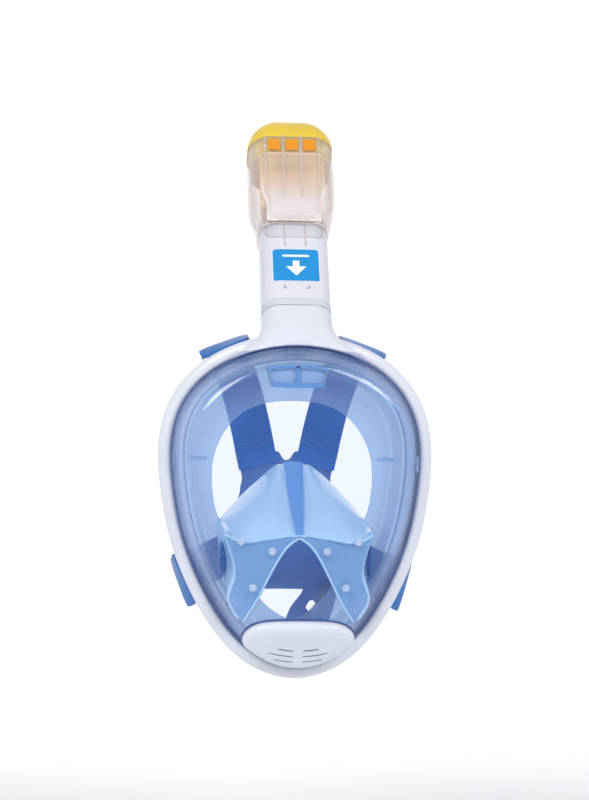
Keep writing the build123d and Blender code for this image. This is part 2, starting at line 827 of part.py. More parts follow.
# Stations of the right upper strap after its clip: centre, direction of its width
UPPER_STATIONS = (
    ((47.6, 77, 109.5), (0.92, 0, -0.39)),
    ((36.5, 94.5, 93), (0.95, -0.05, -0.30)),
    ((28, 101.6, 64), (0.96, 0, -0.26)),
    ((22, 101.9, 33), (0.985, 0, -0.17)))
UPPER_END_TANGENT = (-0.17, 0, -0.985)
# Centre line of a lower strap: to the rear and outwards from the clip's pivot
LOWER_PATH = ((21.6, 5.0), (30, 6.9), (41, 6.6), (60, -4), (67.25, -22), (67.25, -46))
SLIDER_REARWARD, SLIDER_OUTWARD = 50, 1.58   # middle of a slider, from the clip's pivot
SLIDER_L = 13


def strap_loop(hinge):
    """The sewn end of a strap, round the clip's outer bar."""
    with BuildPart() as body:
        with BuildSketch(hinge.plane(-STRAP_W / 2)):
            with Locations((18.2, 0)):
                RectangleRounded(9.8, 6.6, 3.2)
                RectangleRounded(6.2, 3.0, 0.8, mode=Mode.SUBTRACT)
        extrude(amount=STRAP_W)
    return body.part


def upper_strap_planes(side, hinge):
    """Planes across an upper strap, with local x along its width."""
    points = [hinge.pivot + hinge.reach * 22.2]
    widths = [hinge.along]
    for (x, y, z), (width_x, width_y, width_z) in UPPER_STATIONS:
        points.append(Vector(side * x, y, z))
        widths.append(Vector(width_x, width_y, side * width_z))
    end_x, end_y, end_z = UPPER_END_TANGENT
    with BuildLine() as centre_line:
        Spline(*points, tangents=(hinge.reach, Vector(side * end_x, end_y, end_z)))
    curve = centre_line.edges()[0]
    spans = len(UPPER_STATIONS)
    planes = []
    for i in range(STRAP_STEPS + 1):
        place = i / STRAP_STEPS
        k = min(int(place * spans), spans - 1)
        blend = place * spans - k
        width = widths[k] * (1 - blend) + widths[k + 1] * blend
        tangent = curve % place
        planes.append(Plane(origin=curve @ place,
                            x_dir=(width - tangent * width.dot(tangent)).normalized(),
                            z_dir=tangent))
    return planes


def upper_strap(side, hinge):
    """Over the crown and down to the rear pad."""
    planes = upper_strap_planes(side, hinge)
    with BuildPart() as body:
        for near, far in zip(planes[:-1], planes[1:]):
            with BuildSketch(near):
                Rectangle(STRAP_W, STRAP_T)
            with BuildSketch(far):
                Rectangle(STRAP_W, STRAP_T)
            loft(ruled=True)
        add(strap_loop(hinge))
    return body.part


def lower_strap(hinge):
    """Round the jaw to the rear pad."""
    with BuildPart() as body:
        with BuildSketch(hinge.rear_plane(-STRAP_W / 2)):
            with BuildLine():
                FilletPolyline(*LOWER_PATH, radius=9)
            trace(line_width=STRAP_T)
        extrude(amount=STRAP_W)
        add(strap_loop(hinge))
    return body.part


def strap_slider(hinge):
    """A slider on the straight run in the middle of a lower strap."""
    (rear_a, out_a), (rear_b, out_b) = LOWER_PATH[2:4]
    run = (REARWARD * (rear_b - rear_a) + hinge.outward * (out_b - out_a)).normalized()
    middle = hinge.pivot + REARWARD * SLIDER_REARWARD + hinge.outward * SLIDER_OUTWARD
    with BuildPart() as body:
        with BuildSketch(Plane(origin=middle - run * (SLIDER_L / 2), x_dir=hinge.along, z_dir=run)):
            RectangleRounded(36, 5.4, 2)
            Rectangle(STRAP_W + 0.8, STRAP_T + 0.8, mode=Mode.SUBTRACT)
        extrude(amount=SLIDER_L)
        # window over the strap's outer side, which leaves a rail at each end
        with BuildSketch(Plane(origin=middle, x_dir=hinge.along, z_dir=hinge.along.cross(run))):
            Rectangle(27, 6)
        extrude(amount=8, mode=Mode.SUBTRACT)
    return body.part


# ---------------------------------------------------------------- rear pad
PAD_T = 3
# Right half of the pad: x, z
PAD = mirrored((
    (0, 28), (6, 38), (35, 33), (33, 16), (36, 0), (50, -14), (44, -50), (30, -64), (0, -64)))
# The whole tail: x, z
TAIL = ((8, -58), (29, -58), (33, -68), (24, -84), (12, -91), (-8, -91), (0, -76))
TAIL_HOLE, TAIL_HOLE_R = (16.5, -76), 4.4


def rear_pad():
    with BuildPart() as body:
        add(plate(PAD, front_plane(PAD_Y + PAD_T), PAD_T, radius=3))
        fillet(body.edges().group_by(Axis.Y)[-1], 1.0)
    return body.part


def pad_tail():
    with BuildPart() as body:
        add(plate(TAIL, front_plane(PAD_Y - 0.2), 2, radius=4))
        with BuildSketch(front_plane(PAD_Y)):
            with Locations(TAIL_HOLE):
                Circle(TAIL_HOLE_R)
        extrude(amount=6, mode=Mode.SUBTRACT)
    return body.part


# ---------------------------------------------------------------- save every piece
# Each of these files is named after its function.
for piece in (front_frame, rear_frame, viewport_lens, face_skirt, forehead_duct, oral_nasal_cup,
              cup_studs, chin_valve_seat, chin_valve_diaphragm, chin_valve_cover, snorkel_tube,
              tube_gasket, tube_label, tube_insert, top_housing, top_cap, port_plate, float_body,
              float_seal, float_guide_rod, release_button, button_spring, clip_pins, rear_pad,
              pad_tail):
    save(piece(), piece.__name__)

for name, hinge in HINGES.items():
    save(strap_clip(hinge), f"strap_clip_{name}")

for word, side in SIDES.items():
    upper, lower = HINGES[f"upper_{word}"], HINGES[f"lower_{word}"]
    save(inlet_valve_seat(side), f"inlet_valve_seat_{word}")
    save(inlet_valve_flap(side), f"inlet_valve_flap_{word}")
    save(upper_strap(side, upper), f"upper_strap_{word}")
    save(lower_strap(lower), f"lower_strap_{word}")
    save(strap_slider(lower), f"strap_slider_{word}")
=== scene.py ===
"""Full-face snorkel mask with a leaning snorkel, head straps and a rear pad, on a white stage.

The mask looks towards -Y and +Z is up. "Left" is -X, the left as seen from the front.
Shapes are laid out in mm; ORIGIN_Y moves them rearwards into the frame of the CAD pieces.
"""
import math

import bmesh
import bpy
import numpy as np
from mathutils import Matrix, Vector


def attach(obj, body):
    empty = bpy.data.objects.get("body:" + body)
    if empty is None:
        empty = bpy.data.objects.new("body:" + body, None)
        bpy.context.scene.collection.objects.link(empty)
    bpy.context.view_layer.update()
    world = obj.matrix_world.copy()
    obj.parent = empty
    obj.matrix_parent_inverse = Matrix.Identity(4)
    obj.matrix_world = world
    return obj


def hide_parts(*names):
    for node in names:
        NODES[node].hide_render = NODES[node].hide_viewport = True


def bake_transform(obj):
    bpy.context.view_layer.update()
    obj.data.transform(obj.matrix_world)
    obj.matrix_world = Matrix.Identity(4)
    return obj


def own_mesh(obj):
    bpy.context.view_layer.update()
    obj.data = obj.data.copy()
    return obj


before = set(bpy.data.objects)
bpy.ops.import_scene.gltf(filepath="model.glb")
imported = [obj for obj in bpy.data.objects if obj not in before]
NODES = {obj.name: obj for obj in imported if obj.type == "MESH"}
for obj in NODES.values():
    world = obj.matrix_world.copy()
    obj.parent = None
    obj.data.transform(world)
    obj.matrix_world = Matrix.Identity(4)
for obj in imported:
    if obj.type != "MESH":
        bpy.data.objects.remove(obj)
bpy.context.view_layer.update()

MM = 0.001
ORIGIN_Y = 36.0
COLLECTION = bpy.context.scene.collection
SIDES = ((-1, "left"), (1, "right"))

# ---------------------------------------------------------------- shared shape, in mm
# The mask's outline: radius = sum of coefficient * cos(k * angle), angle 0 at the top.
RING_COEFFICIENTS = (105.30, -0.386, 12.168, -6.644, 0.308, -1.175, 0.635, 0.1)
RING_CENTRE_Z = 10.0
RING_ANGLES = [2 * math.pi * i / 220 for i in range(220)]
WRAP_RADIUS_X, WRAP_RADIUS_Z = 205.0, 600.0  # how the mask curves back sideways and vertically

LEAN = math.radians(35.0)
TUBE_ORIGIN = np.array((0.0, 12.0, 108.5))
TUBE_UP = np.array((0.0, math.sin(LEAN), math.cos(LEAN)))
TUBE_REARWARD = np.array((0.0, math.cos(LEAN), -math.sin(LEAN)))

# The flat facet at the chin, which slopes forwards and down.
CHIN_CENTRE = np.array((0, -22.4, -90.0))
CHIN_NORMAL = np.array((0, -0.762, -0.647))
CHIN_UP = np.array((0, CHIN_NORMAL[2], -CHIN_NORMAL[1]))


def lerp(a, b, k):
    return a + (b - a) * k


def smooth01(k):
    k = min(max(k, 0.0), 1.0)
    return k * k * (3 - 2 * k)


def ring_xz(angle, inset=0.0):
    """A point on the mask's outline, moved inwards by inset."""
    def raw(a):
        radius = sum(c * math.cos(k * a) for k, c in enumerate(RING_COEFFICIENTS))
        return radius * math.sin(a), RING_CENTRE_Z + radius * math.cos(a)

    x, z = raw(angle)
    x_before, z_before = raw(angle - 1e-4)
    x_after, z_after = raw(angle + 1e-4)
    along_x, along_z = x_after - x_before, z_after - z_before
    length = math.hypot(along_x, along_z)
    return x + along_z / length * inset, z - along_x / length * inset


def wrap(x, z):
    """How far back the mask's curved front plane lies at x and z."""
    sideways = WRAP_RADIUS_X - math.sqrt(max(WRAP_RADIUS_X**2 - x * x, 0))
    return WRAP_RADIUS_Z - math.sqrt((WRAP_RADIUS_Z - sideways) ** 2 - z * z)


def ring_points(inset):
    return [ring_xz(angle, inset) for angle in RING_ANGLES]


def wrapped_ring(inset, behind):
    """A ring that follows the curved front plane, a distance behind it."""
    return [(x, wrap(x, z) + behind, z) for x, z in ring_points(inset)]


def flat_ring(inset, y):
    return [(x, y, z) for x, z in ring_points(inset)]


def tube(x, y, up):
    """A point in the snorkel's own axes: across, rearwards, up."""
    return TUBE_ORIGIN + np.array((x, 0, 0)) + TUBE_REARWARD * y + TUBE_UP * up


def rounded_rect(width, depth, radius, n=12):
    """Points of a rounded rectangle, counter-clockwise from the right side."""
    x, y = width / 2 - radius, depth / 2 - radius
    points = []
    for corner_x, corner_y, start in ((x, y, 0), (-x, y, 90), (-x, -y, 180), (x, -y, 270)):
        for i in range(n + 1):
            a = math.radians(start + 90 * i / n)
            points.append((corner_x + radius * math.cos(a), corner_y + radius * math.sin(a)))
    return points


def tube_ring(up, width, depth, radius):
    return [tube(x, y, up) for x, y in rounded_rect(width, depth, radius)]


def circle_angles(n):
    return np.linspace(0, 2 * math.pi, n, False)


def spline_span(p0, p1, p2, p3, n):
    """Catmull-Rom points from p1 up to, but without, p2."""
    return [0.5 * (2 * p1 + (p2 - p0) * k + (2 * p0 - 5 * p1 + 4 * p2 - p3) * k**2
                   + (3 * p1 - p0 - 3 * p2 + p3) * k**3)
            for k in np.linspace(0, 1, n, endpoint=False)]


def closed_spline(half, n):
    """A closed outline from its +X half, n points to each span."""
    loop = np.array(list(half) + [(-x, y) for x, y in reversed(half[1:-1])], float)
    count = len(loop)
    points = []
    for i in range(count):
        points += spline_span(loop[i - 1], loop[i], loop[(i + 1) % count],
                              loop[(i + 2) % count], n)
    return np.array(points)


def open_spline(points, n):
    p = [np.array(q, float) for q in points]
    p = [2 * p[0] - p[1]] + p + [2 * p[-1] - p[-2]]
    line = []
    for i in range(1, len(p) - 2):
        line += spline_span(*p[i - 1:i + 3], n)
    line.append(p[-2])
    return line


def smooth_resample(points, n, rounds):
    """n evenly spaced points along a line, then averaged with their neighbours."""
    p = np.array(points, float)
    run = np.concatenate(([0], np.cumsum(np.hypot(*np.diff(p, axis=0).T))))
    stations = np.linspace(0, run[-1], n)
    p = np.stack((np.interp(stations, run, p[:, 0]), np.interp(stations, run, p[:, 1])), 1)
    for _ in range(rounds):
        averaged = p.copy()
        averaged[1:-1] = (p[:-2] + 2 * p[1:-1] + p[2:]) / 4
        p = averaged
    return p


# ---------------------------------------------------------------- mesh helpers
def to_metres(point):
    return point[0] * MM, (point[1] + ORIGIN_Y) * MM, point[2] * MM


def link_object(name, mesh):
    o = bpy.data.objects.new(name, mesh)
    COLLECTION.objects.link(o)
    return o


def shade_smooth(mesh):
    for polygon in mesh.polygons:
        polygon.use_smooth = True


def skin(name, rings, material, close=True, caps=(False, False), angle=40):
    """A surface over rings of points. Edges sharper than angle stay sharp; 0 smooths them all."""
    n = len(rings[0])
    faces = []
    for i in range(len(rings) - 1):
        for j in range(n if close else n - 1):
            k = (j + 1) % n
            faces.append((i * n + j, i * n + k, (i + 1) * n + k, (i + 1) * n + j))
    if caps[0]:
        faces.append(tuple(range(n)))
    if caps[1]:
        faces.append(tuple(range((len(rings) - 1) * n, len(rings) * n)))
    mesh = bpy.data.meshes.new(name)
    mesh.from_pydata([to_metres(p) for ring in rings for p in ring], [], faces)
    mesh.validate()
    bm = bmesh.new()
    bm.from_mesh(mesh)
    bmesh.ops.recalc_face_normals(bm, faces=bm.faces)
    bm.to_mesh(mesh)
    bm.free()
    shade_smooth(mesh)
    if angle:
        mesh.set_sharp_from_angle(angle=math.radians(angle))
    o = link_object(name, mesh)
    mesh.materials.append(material)
    return o


def apply_modifiers(o):
    bpy.context.view_layer.update()
    depsgraph = bpy.context.evaluated_depsgraph_get()
    mesh = bpy.data.meshes.new_from_object(o.evaluated_get(depsgraph))
    materials = list(o.data.materials)
    o.modifiers.clear()
    o.data = mesh
    if not len(mesh.materials):
        for material in materials:
            mesh.materials.append(material)
    shade_smooth(mesh)


def thicken(o, thickness, offset=-1.0):
    """Give a surface a thickness; offset -1 grows it inwards, 1 outwards, 0 both ways."""
    solid = o.modifiers.new("solid", "SOLIDIFY")
    solid.thickness = thickness * MM
    solid.offset = offset
    solid.use_even_offset = False
    apply_modifiers(o)


def subdivide(o):
    subsurf = o.modifiers.new("sub", "SUBSURF")
    subsurf.levels = 1
    subsurf.render_levels = 1
    apply_modifiers(o)


def add_smooth(o, rounds, group=""):
    smooth = o.modifiers.new("smooth", "SMOOTH")
    smooth.factor = 0.5
    smooth.iterations = rounds
    smooth.vertex_group = group


def soften(node, name, voxel, rounds, material):
    """A copy of a CAD node with moulded, rounded edges."""
    mesh = NODES[node].data.copy()
    mesh.materials.clear()
    bm = bmesh.new()
    bm.from_mesh(mesh)
    bmesh.ops.remove_doubles(bm, verts=bm.verts, dist=1e-6)
    bm.to_mesh(mesh)
    bm.free()
    o = link_object(name, mesh)
    remesh = o.modifiers.new("remesh", "REMESH")
    remesh.mode = "VOXEL"
    remesh.voxel_size = voxel * MM
    remesh.use_smooth_shade = True
    add_smooth(o, rounds)
    apply_modifiers(o)
    o.data.materials.clear()
    o.data.materials.append(material)
    return o


def put(o, body, slot, *replaced):
    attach(o, body)
    if replaced:
        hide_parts(*replaced)


def put_between(o, start, end, replaced):
    """A strap between a clip and the mask: its placement is baked into its mesh and the part it
    replaces is hidden.
    """
    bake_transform(o)
    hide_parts(replaced)


def piece(name, rings, material, slot, *replaced, body="mask", thick=0, offset=-1.0,
          divide=False, **skin_options):
    """Skin, thicken, subdivide and hand over one piece."""
    o = skin(name, rings, material, **skin_options)
    if thick:
        thicken(o, thick, offset)
    if divide:
        subdivide(o)
    put(o, body, slot, *replaced)


# ---------------------------------------------------------------- material helpers
def srgb(r, g, b):
    def linear(c):
        return (c / 255 / 12.92) if c / 255 <= 0.04045 else ((c / 255 + 0.055) / 1.055) ** 2.4

    return (linear(r), linear(g), linear(b), 1.0)


class MaterialBuilder:
    """A node material under construction."""

    def __init__(self, name):
        self.material = bpy.data.materials.new(name)
        self.material.use_nodes = True
        self.tree = self.material.node_tree
        self.tree.nodes.clear()
        self.output = self.node("ShaderNodeOutputMaterial")
        self.coord = self.node("ShaderNodeTexCoord")

    def node(self, kind, **inputs):
        node = self.tree.nodes.new(kind)
        for key, value in inputs.items():
            self.feed(node.inputs[key.replace("_", " ")], value)
        return node

    def feed(self, socket, value):
        """Link another node's output, or set a plain value."""
        if isinstance(value, bpy.types.NodeSocket):
            self.tree.links.new(value, socket)
        else:
            socket.default_value = value

    def texture(self, kind, **inputs):
        return self.node(kind, Vector=self.coord.outputs["Object"], **inputs)

    def noise(self, scale, detail=4.0):
        texture = self.texture("ShaderNodeTexNoise", Scale=scale, Detail=detail, Roughness=0.5)
        return texture.outputs["Fac"]

    def ramp(self, factor, stops):
        ramp = self.node("ShaderNodeValToRGB", Fac=factor)
        elements = ramp.color_ramp.elements
        while len(elements) < len(stops):
            elements.new(0.5)
        for element, (position, color) in zip(elements, stops):
            element.position = position
            element.color = color
        return ramp.outputs["Color"]

    def math(self, operation, *values):
        node = self.node("ShaderNodeMath")
        node.operation = operation
        for socket, value in zip(node.inputs, values):
            self.feed(socket, value)
        return node.outputs[0]

    def scaled(self, value, gain, base):
        """value * gain + base"""
        return self.math("MULTIPLY_ADD", value, gain, base)

    def vary(self, color, amount, scale):
        """The colour, a little darker and lighter in soft patches."""
        low = tuple(c * (1 - amount) for c in color[:3]) + (1,)
        high = tuple(min(c * (1 + amount), 1) for c in color[:3]) + (1,)
        return self.ramp(self.noise(scale), [(0.35, low), (0.65, high)])

    def bump(self, height, strength, distance=0.0002):
        node = self.node("ShaderNodeBump", Strength=strength, Distance=distance, Height=height)
        return node.outputs["Normal"]

    def principled(self, color, rough, **inputs):
        return self.node("ShaderNodeBsdfPrincipled", Base_Color=color, Roughness=rough, **inputs)

    def transparent(self, color):
        return self.node("ShaderNodeBsdfTransparent", Color=color).outputs[0]

    def mix(self, factor, a, b):
        node = self.node("ShaderNodeMixShader")
        for socket, value in zip(node.inputs, (factor, a, b)):
            self.feed(socket, value)
        return node.outputs[0]

    def done(self, shader):
        self.feed(self.output.inputs["Surface"], shader)
        return self.material


def moulded(name, rgb, rough, coat=0.0, metallic=0.0):
    """Injection-moulded plastic: faint flow patches, fine texture, uneven polish."""
    m = MaterialBuilder(name)
    color = m.vary(srgb(*rgb), amount=0.02, scale=22)
    polish = m.scaled(m.noise(scale=60, detail=5), gain=0.12, base=rough - 0.06)
    normal = m.bump(m.noise(scale=900, detail=3), strength=0.04, distance=0.00015)
    shader = m.principled(color, polish, Normal=normal, Coat_Weight=coat, Coat_Roughness=0.12,
                          Metallic=metallic)
    return m.done(shader.outputs[0])


def silicone(name, rgb, tint, see=0.35, rough=0.32, grazing=0.5, coat=0.25, painted_glow=0.0):
    """Translucent silicone. see is how much shows through when looked at squarely."""
    m = MaterialBuilder(name)
    color = m.vary(srgb(*rgb), amount=0.04, scale=18)
    polish = m.scaled(m.noise(scale=45, detail=4), gain=0.14, base=rough - 0.07)
    normal = m.bump(m.noise(scale=700, detail=2), strength=0.05, distance=0.00015)
    surface = m.principled(color, polish, Normal=normal, Coat_Weight=coat, Coat_Roughness=0.2)
    if painted_glow:  # painted glow: emission that brightens the pale silicone, standing in for light scattered inside it
        surface.inputs["Emission Color"].default_value = (0.42, 0.62, 0.98, 1)
        surface.inputs["Emission Strength"].default_value = painted_glow
    through = m.transparent(srgb(*tint))
    translucent = m.node("ShaderNodeBsdfTranslucent", Color=srgb(*rgb))
    body = m.mix(0.15, surface.outputs[0], translucent.outputs[0])
    facing = m.node("ShaderNodeLayerWeight", Blend=0.35).outputs["Facing"]
    opacity = m.math("MINIMUM", m.scaled(facing, gain=grazing, base=1 - see), 1.0)
    return m.done(m.mix(opacity, through, body))


def clear(name, tint, edge, reflect=0.06, edge_power=2.0, rough=0.02, haze=0.0, haze_rgb=None,
          cap=0.3):
    """Thin clear plastic, tinted and more mirror-like towards its edges.

    reflect is the reflection seen squarely and cap its limit; haze adds a milky surface.
    """
    m = MaterialBuilder(name)
    facing = m.node("ShaderNodeLayerWeight", Blend=0.5).outputs["Facing"]
    edgeness = m.math("POWER", facing, edge_power)
    through = m.transparent(m.ramp(edgeness, [(0.0, srgb(*tint)), (1.0, srgb(*edge))]))
    gloss = m.node("ShaderNodeBsdfGlossy", Roughness=rough, Color=(1, 1, 1, 1),
                   Normal=m.bump(m.noise(scale=30, detail=2), strength=0.02, distance=0.0003))
    fresnel = m.node("ShaderNodeFresnel", IOR=1.42).outputs[0]
    mirror = m.math("MINIMUM", m.scaled(fresnel, gain=1.0, base=reflect - 0.04), cap)
    shader = m.mix(mirror, through, gloss.outputs[0])
    if haze:
        milk = m.principled(srgb(*haze_rgb), 0.35,
                            Normal=m.bump(m.noise(scale=400, detail=3), strength=0.05))
        amount = m.scaled(m.noise(scale=28, detail=3), gain=0.12, base=haze - 0.06)
        amount = m.scaled(edgeness, gain=0.35, base=amount)
        shader = m.mix(amount, shader, milk.outputs[0])
    return m.done(shader)


def webbing(name, rgb, hollow_shade):
    """Woven elastic: ribs across the strap, a fine weave with painted shade in its hollows, soft
    sheen, uneven dye.
    """
    m = MaterialBuilder(name)
    thread = 0.0009  # pitch in metres
    waves = []
    for direction in "ZX":
        wave = m.texture("ShaderNodeTexWave", Scale=1 / thread / 6.2, Distortion=0.6, Detail=2.0)
        wave.bands_direction = direction
        waves.append(wave.outputs["Fac"])
    weave = m.math("MULTIPLY", *waves)
    # the weave's low parts take the darker colour: painted shade in its hollows
    shade = m.ramp(weave, [(0.0, srgb(*hollow_shade)), (0.8, srgb(*rgb))])
    dyed = m.node("ShaderNodeMixRGB")
    dyed.blend_type = "MULTIPLY"
    patches = m.ramp(m.noise(scale=26, detail=5), [(0.3, (0.86, 0.88, 0.92, 1)),
                                                   (0.7, (1, 1, 1, 1))])
    for socket, value in zip(dyed.inputs, (0.7, shade, patches)):
        m.feed(socket, value)
    fuzz = m.math("MULTIPLY", m.noise(scale=1500, detail=2), 0.3)
    normal = m.bump(m.math("ADD", weave, fuzz), strength=0.35)
    shader = m.principled(dyed.outputs[0], 0.75, Normal=normal, Sheen_Weight=0.35,
                          Sheen_Roughness=0.5, Sheen_Tint=srgb(170, 200, 240))
    return m.done(shader.outputs[0])


def frosted_liner():
    """Frosted plastic that turns from white to amber up the snorkel head."""
    m = MaterialBuilder("head_liner_frosted")
    split = m.node("ShaderNodeSeparateXYZ", Vector=m.coord.outputs["Object"])
    z_low, z_high = (tube(0, -19, up)[2] * MM for up in (118, 150))
    height = m.math("DIVIDE", m.math("SUBTRACT", split.outputs["Z"], z_low), z_high - z_low)
    height = m.math("ADD", height, m.scaled(m.noise(scale=50, detail=3), gain=0.3, base=-0.15))
    color = m.ramp(height, [(0.0, srgb(240, 236, 238)), (0.35, srgb(240, 226, 214)),
                            (0.9, srgb(236, 206, 158))])
    frost = m.principled(color, 0.4, Normal=m.bump(m.noise(scale=500, detail=3), strength=0.05))
    through = m.node("ShaderNodeBsdfTransparent").outputs[0]
    opacity = m.math("MAXIMUM", m.scaled(height, gain=-0.24, base=0.88), 0.5)
    return m.done(m.mix(m.math("MINIMUM", opacity, 0.9), through, frost.outputs[0]))


def studio_paper():
    m = MaterialBuilder("studio_white")
    color = m.ramp(m.noise(scale=2), [(0.3, (0.94, 0.94, 0.95, 1)), (0.7, (0.96, 0.96, 0.97, 1))])
    normal = m.bump(m.noise(scale=200), strength=0.02)
    return m.done(m.principled(color, 0.9, Normal=normal).outputs[0])


# ---------------------------------------------------------------- materials
WHITE = moulded("white_moulded", (212, 214, 224), rough=0.30, coat=0.35)
TUBE_WHITE = moulded("white_moulded_tube", (211, 212, 221), rough=0.34, coat=0.25)
COVER_WHITE = moulded("white_cover", (208, 212, 224), rough=0.36, coat=0.2)
LENS = clear("lens_clear", (242, 245, 250), (244, 246, 251), reflect=0.04, edge_power=3.0,
             cap=0.10)
SEAT = clear("lens_seat_clear", (248, 250, 253), (232, 239, 250), reflect=0.05, edge_power=1.6,
             rough=0.12, haze=0.72, haze_rgb=(184, 212, 246), cap=0.1)
SKIRT = silicone("skirt_silicone", (212, 229, 246), (219, 234, 250), see=0.70, rough=0.34,
                 grazing=0.3)
# pale, glowing copy of the cup silicone for its top, sides and bead: painted light on the cup
CUP_PAINTED_LIGHT = silicone("cup_silicone", (204, 234, 255), (186, 220, 252), see=0.06, rough=0.14, coat=0.8,
               painted_glow=0.13)
# the cup's front panel silicone, with a faint painted glow
CUP_PANEL = silicone("cup_panel_silicone", (160, 204, 240), (184, 214, 242), see=0.26,
                     rough=0.28, painted_glow=0.02)
STRAP = webbing("strap_webbing", (62, 148, 232), hollow_shade=(46, 120, 206))
PAD = webbing("pad_fabric", (104, 150, 218), hollow_shade=(86, 128, 196))
BLUE = moulded("clip_blue", (12, 102, 178), rough=0.34, coat=0.2)
NAVY = moulded("seal_navy", (44, 76, 134), rough=0.4, coat=0.15)
YELLOW = moulded("cap_yellow", (226, 194, 54), rough=0.32, coat=0.3)
CAP_YELLOW_PAINTED_SHADE = moulded("cap_yellow_painted_shade", (224, 142, 6), rough=0.55)
ORANGE = moulded("float_orange", (250, 206, 160), rough=0.5, coat=0.05)
CLEAR = clear("clear_plastic", (252, 251, 250), (230, 226, 224), reflect=0.05, edge_power=2.6,
              cap=0.2)
HOUSING = clear("housing_clear", (254, 253, 253), (224, 220, 218), reflect=0.04, haze=0.045,
                haze_rgb=(250, 246, 244), cap=0.15)
# darker blue: painted shade on the strip in the cup's groove, and the blue of the forehead duct's
# bars
GROOVE_SHADE_AND_DUCT_BLUE = silicone("cup_web_silicone", (128, 186, 244), (150, 196, 244), see=0.12, rough=0.3)
PEACH = moulded("port_peach", (236, 206, 172), rough=0.45, coat=0.1)
BOSS = moulded("float_boss", (240, 140, 24), rough=0.45, coat=0.1)
LABEL_BLUE = moulded("label_blue", (0, 136, 204), rough=0.6)
LABEL_WHITE = moulded("label_white", (236, 240, 246), rough=0.5, coat=0.05)
STEEL = moulded("steel_brushed", (176, 178, 182), rough=0.3, metallic=1.0)
FLAP = silicone("flap_clear", (200, 208, 222), (225, 230, 240), see=0.6)
# painted shade: the inside of the chin cover's slots and of the snap recesses under the tube's
# label
SLOT_SHADE = moulded("slot_painted_shade", (120, 126, 140), rough=0.6)
GASKET = moulded("tube_gasket_grey", (198, 200, 210), rough=0.5, coat=0.05)
STUD = clear("stud_clear", (236, 244, 255), (200, 220, 248), reflect=0.25, haze=0.55,
             haze_rgb=(240, 248, 255), cap=0.5)
STITCH = moulded("stitch_thread", (84, 146, 222), rough=0.7)

# CAD nodes that stay, with their materials
KEPT_NODES = {
    "rear_frame": WHITE, "chin_valve_seat": BLUE, "chin_valve_diaphragm": FLAP,
    "inlet_valve_seat_left": BLUE, "inlet_valve_seat_right": BLUE,
    "inlet_valve_flap_left": FLAP, "inlet_valve_flap_right": FLAP,
    "tube_gasket": GASKET, "tube_insert": CLEAR, "port_plate": PEACH,
    "float_body": ORANGE, "float_seal": PEACH, "float_guide_rod": STEEL,
    "release_button": BLUE, "button_spring": STEEL, "clip_pins": STEEL,
}
for node_name, kept_material in KEPT_NODES.items():
    kept = NODES[node_name]
    if not kept.material_slots:
        kept.data.materials.append(kept_material)
    for kept_slot in kept.material_slots:
        kept_slot.material = kept_material

RIM = clear("window_rim", (236, 232, 232), (196, 190, 190), haze=0.35, haze_rgb=(236, 230, 230),
            cap=0.2)
LINER = frosted_liner()
TAIL_GLOSS = moulded("tail_gloss", (86, 104, 146), rough=0.22, coat=0.6)
PAPER = studio_paper()


# ---------------------------------------------------------------- white frame
def neck_weight(x, y, z):
    """Smoothing weight where the neck meets the ring, so both flow into one surface."""
    if abs(x) > 62:
        return 0
    band = smooth01((z - 101) / 8) * smooth01((140 - z) / 14)
    return band * smooth01((62 - abs(x)) / 18) * 0.95


def white_frame():
    shell = soften("front_frame", "frame_shell", voxel=0.8, rounds=5, material=WHITE)
    group = shell.vertex_groups.new(name="extra")
    for v in shell.data.vertices:
        weight = neck_weight(v.co.x / MM, v.co.y / MM - ORIGIN_Y, v.co.z / MM)
        if weight > 0:
            group.add([v.index], weight, "REPLACE")
    add_smooth(shell, 28, "extra")
    apply_modifiers(shell)
    put(shell, "mask", "white_shell", "front_frame")


# ---------------------------------------------------------------- lens, its seat and seal
LENS_FRONT_Y = -36.0
# The rounded edge between the lens wall and its front: inset, y
LENS_EDGE = ((18.0, -30.3), (19.2, -32.6), (20.9, -34.4), (23.0, -35.5), (25.5, -35.95),
             (28.0, LENS_FRONT_Y))
# Rings of the clear seat: inset, distance behind the curved front plane
SEAT_RINGS = ((8.7, 2.4), (12, 2.0), (15.5, 2.2), (18.6, 3.0))


def chin_facet(point):
    """Push a point back onto the chin's flat facet if it sticks out in front."""
    point = np.array(point, float)
    height = (point - CHIN_CENTRE) @ CHIN_NORMAL
    return point - CHIN_NORMAL * height if height > 0 else point


def lens_shell():
    rings = [wrapped_ring(4.7, 0.8), wrapped_ring(8.9, 0.8)]
    for part in (0.02, 0.15, 0.3, 0.45, 0.6, 0.75, 0.88, 1.0):
        rings.append([(x, lerp(wrap(x, z) + 0.2, -27.5, part), z)
                      for x, z in ring_points(lerp(9.4, 17.2, part))])
    rings += [flat_ring(inset, y) for inset, y in LENS_EDGE]
    edge = rings[-1]
    for k in (0.85, 0.65, 0.45, 0.25, 0.1):
        rings.append([(x * k, LENS_FRONT_Y, RING_CENTRE_Z + (z - RING_CENTRE_Z) * k)
                      for x, _, z in edge])
    rings = [[chin_facet(p) for p in ring] for ring in rings]
    piece("lens_shell", rings, LENS, "clear_lens", "viewport_lens", caps=(False, True), angle=30,
          thick=2.2)


def seal_ring(wide, behind):
    """One edge of the dark seal: wide is 0 at its outer edge and 1 at its inner edge."""
    points = []
    for angle in RING_ANGLES:
        z_out = ring_xz(angle)[1]
        width = lerp(0.7, 2.7, smooth01((-10 - z_out) / 50))  # wider low down
        width *= 1 - 0.5 * smooth01((-z_out - 95) / 18)  # narrower again at the chin
        width += 0.6 * smooth01((z_out - 70) / 30)
        x, z = ring_xz(angle, 8.75 + wide * width)
        points.append((x, wrap(x, z) + behind, z))
    return points


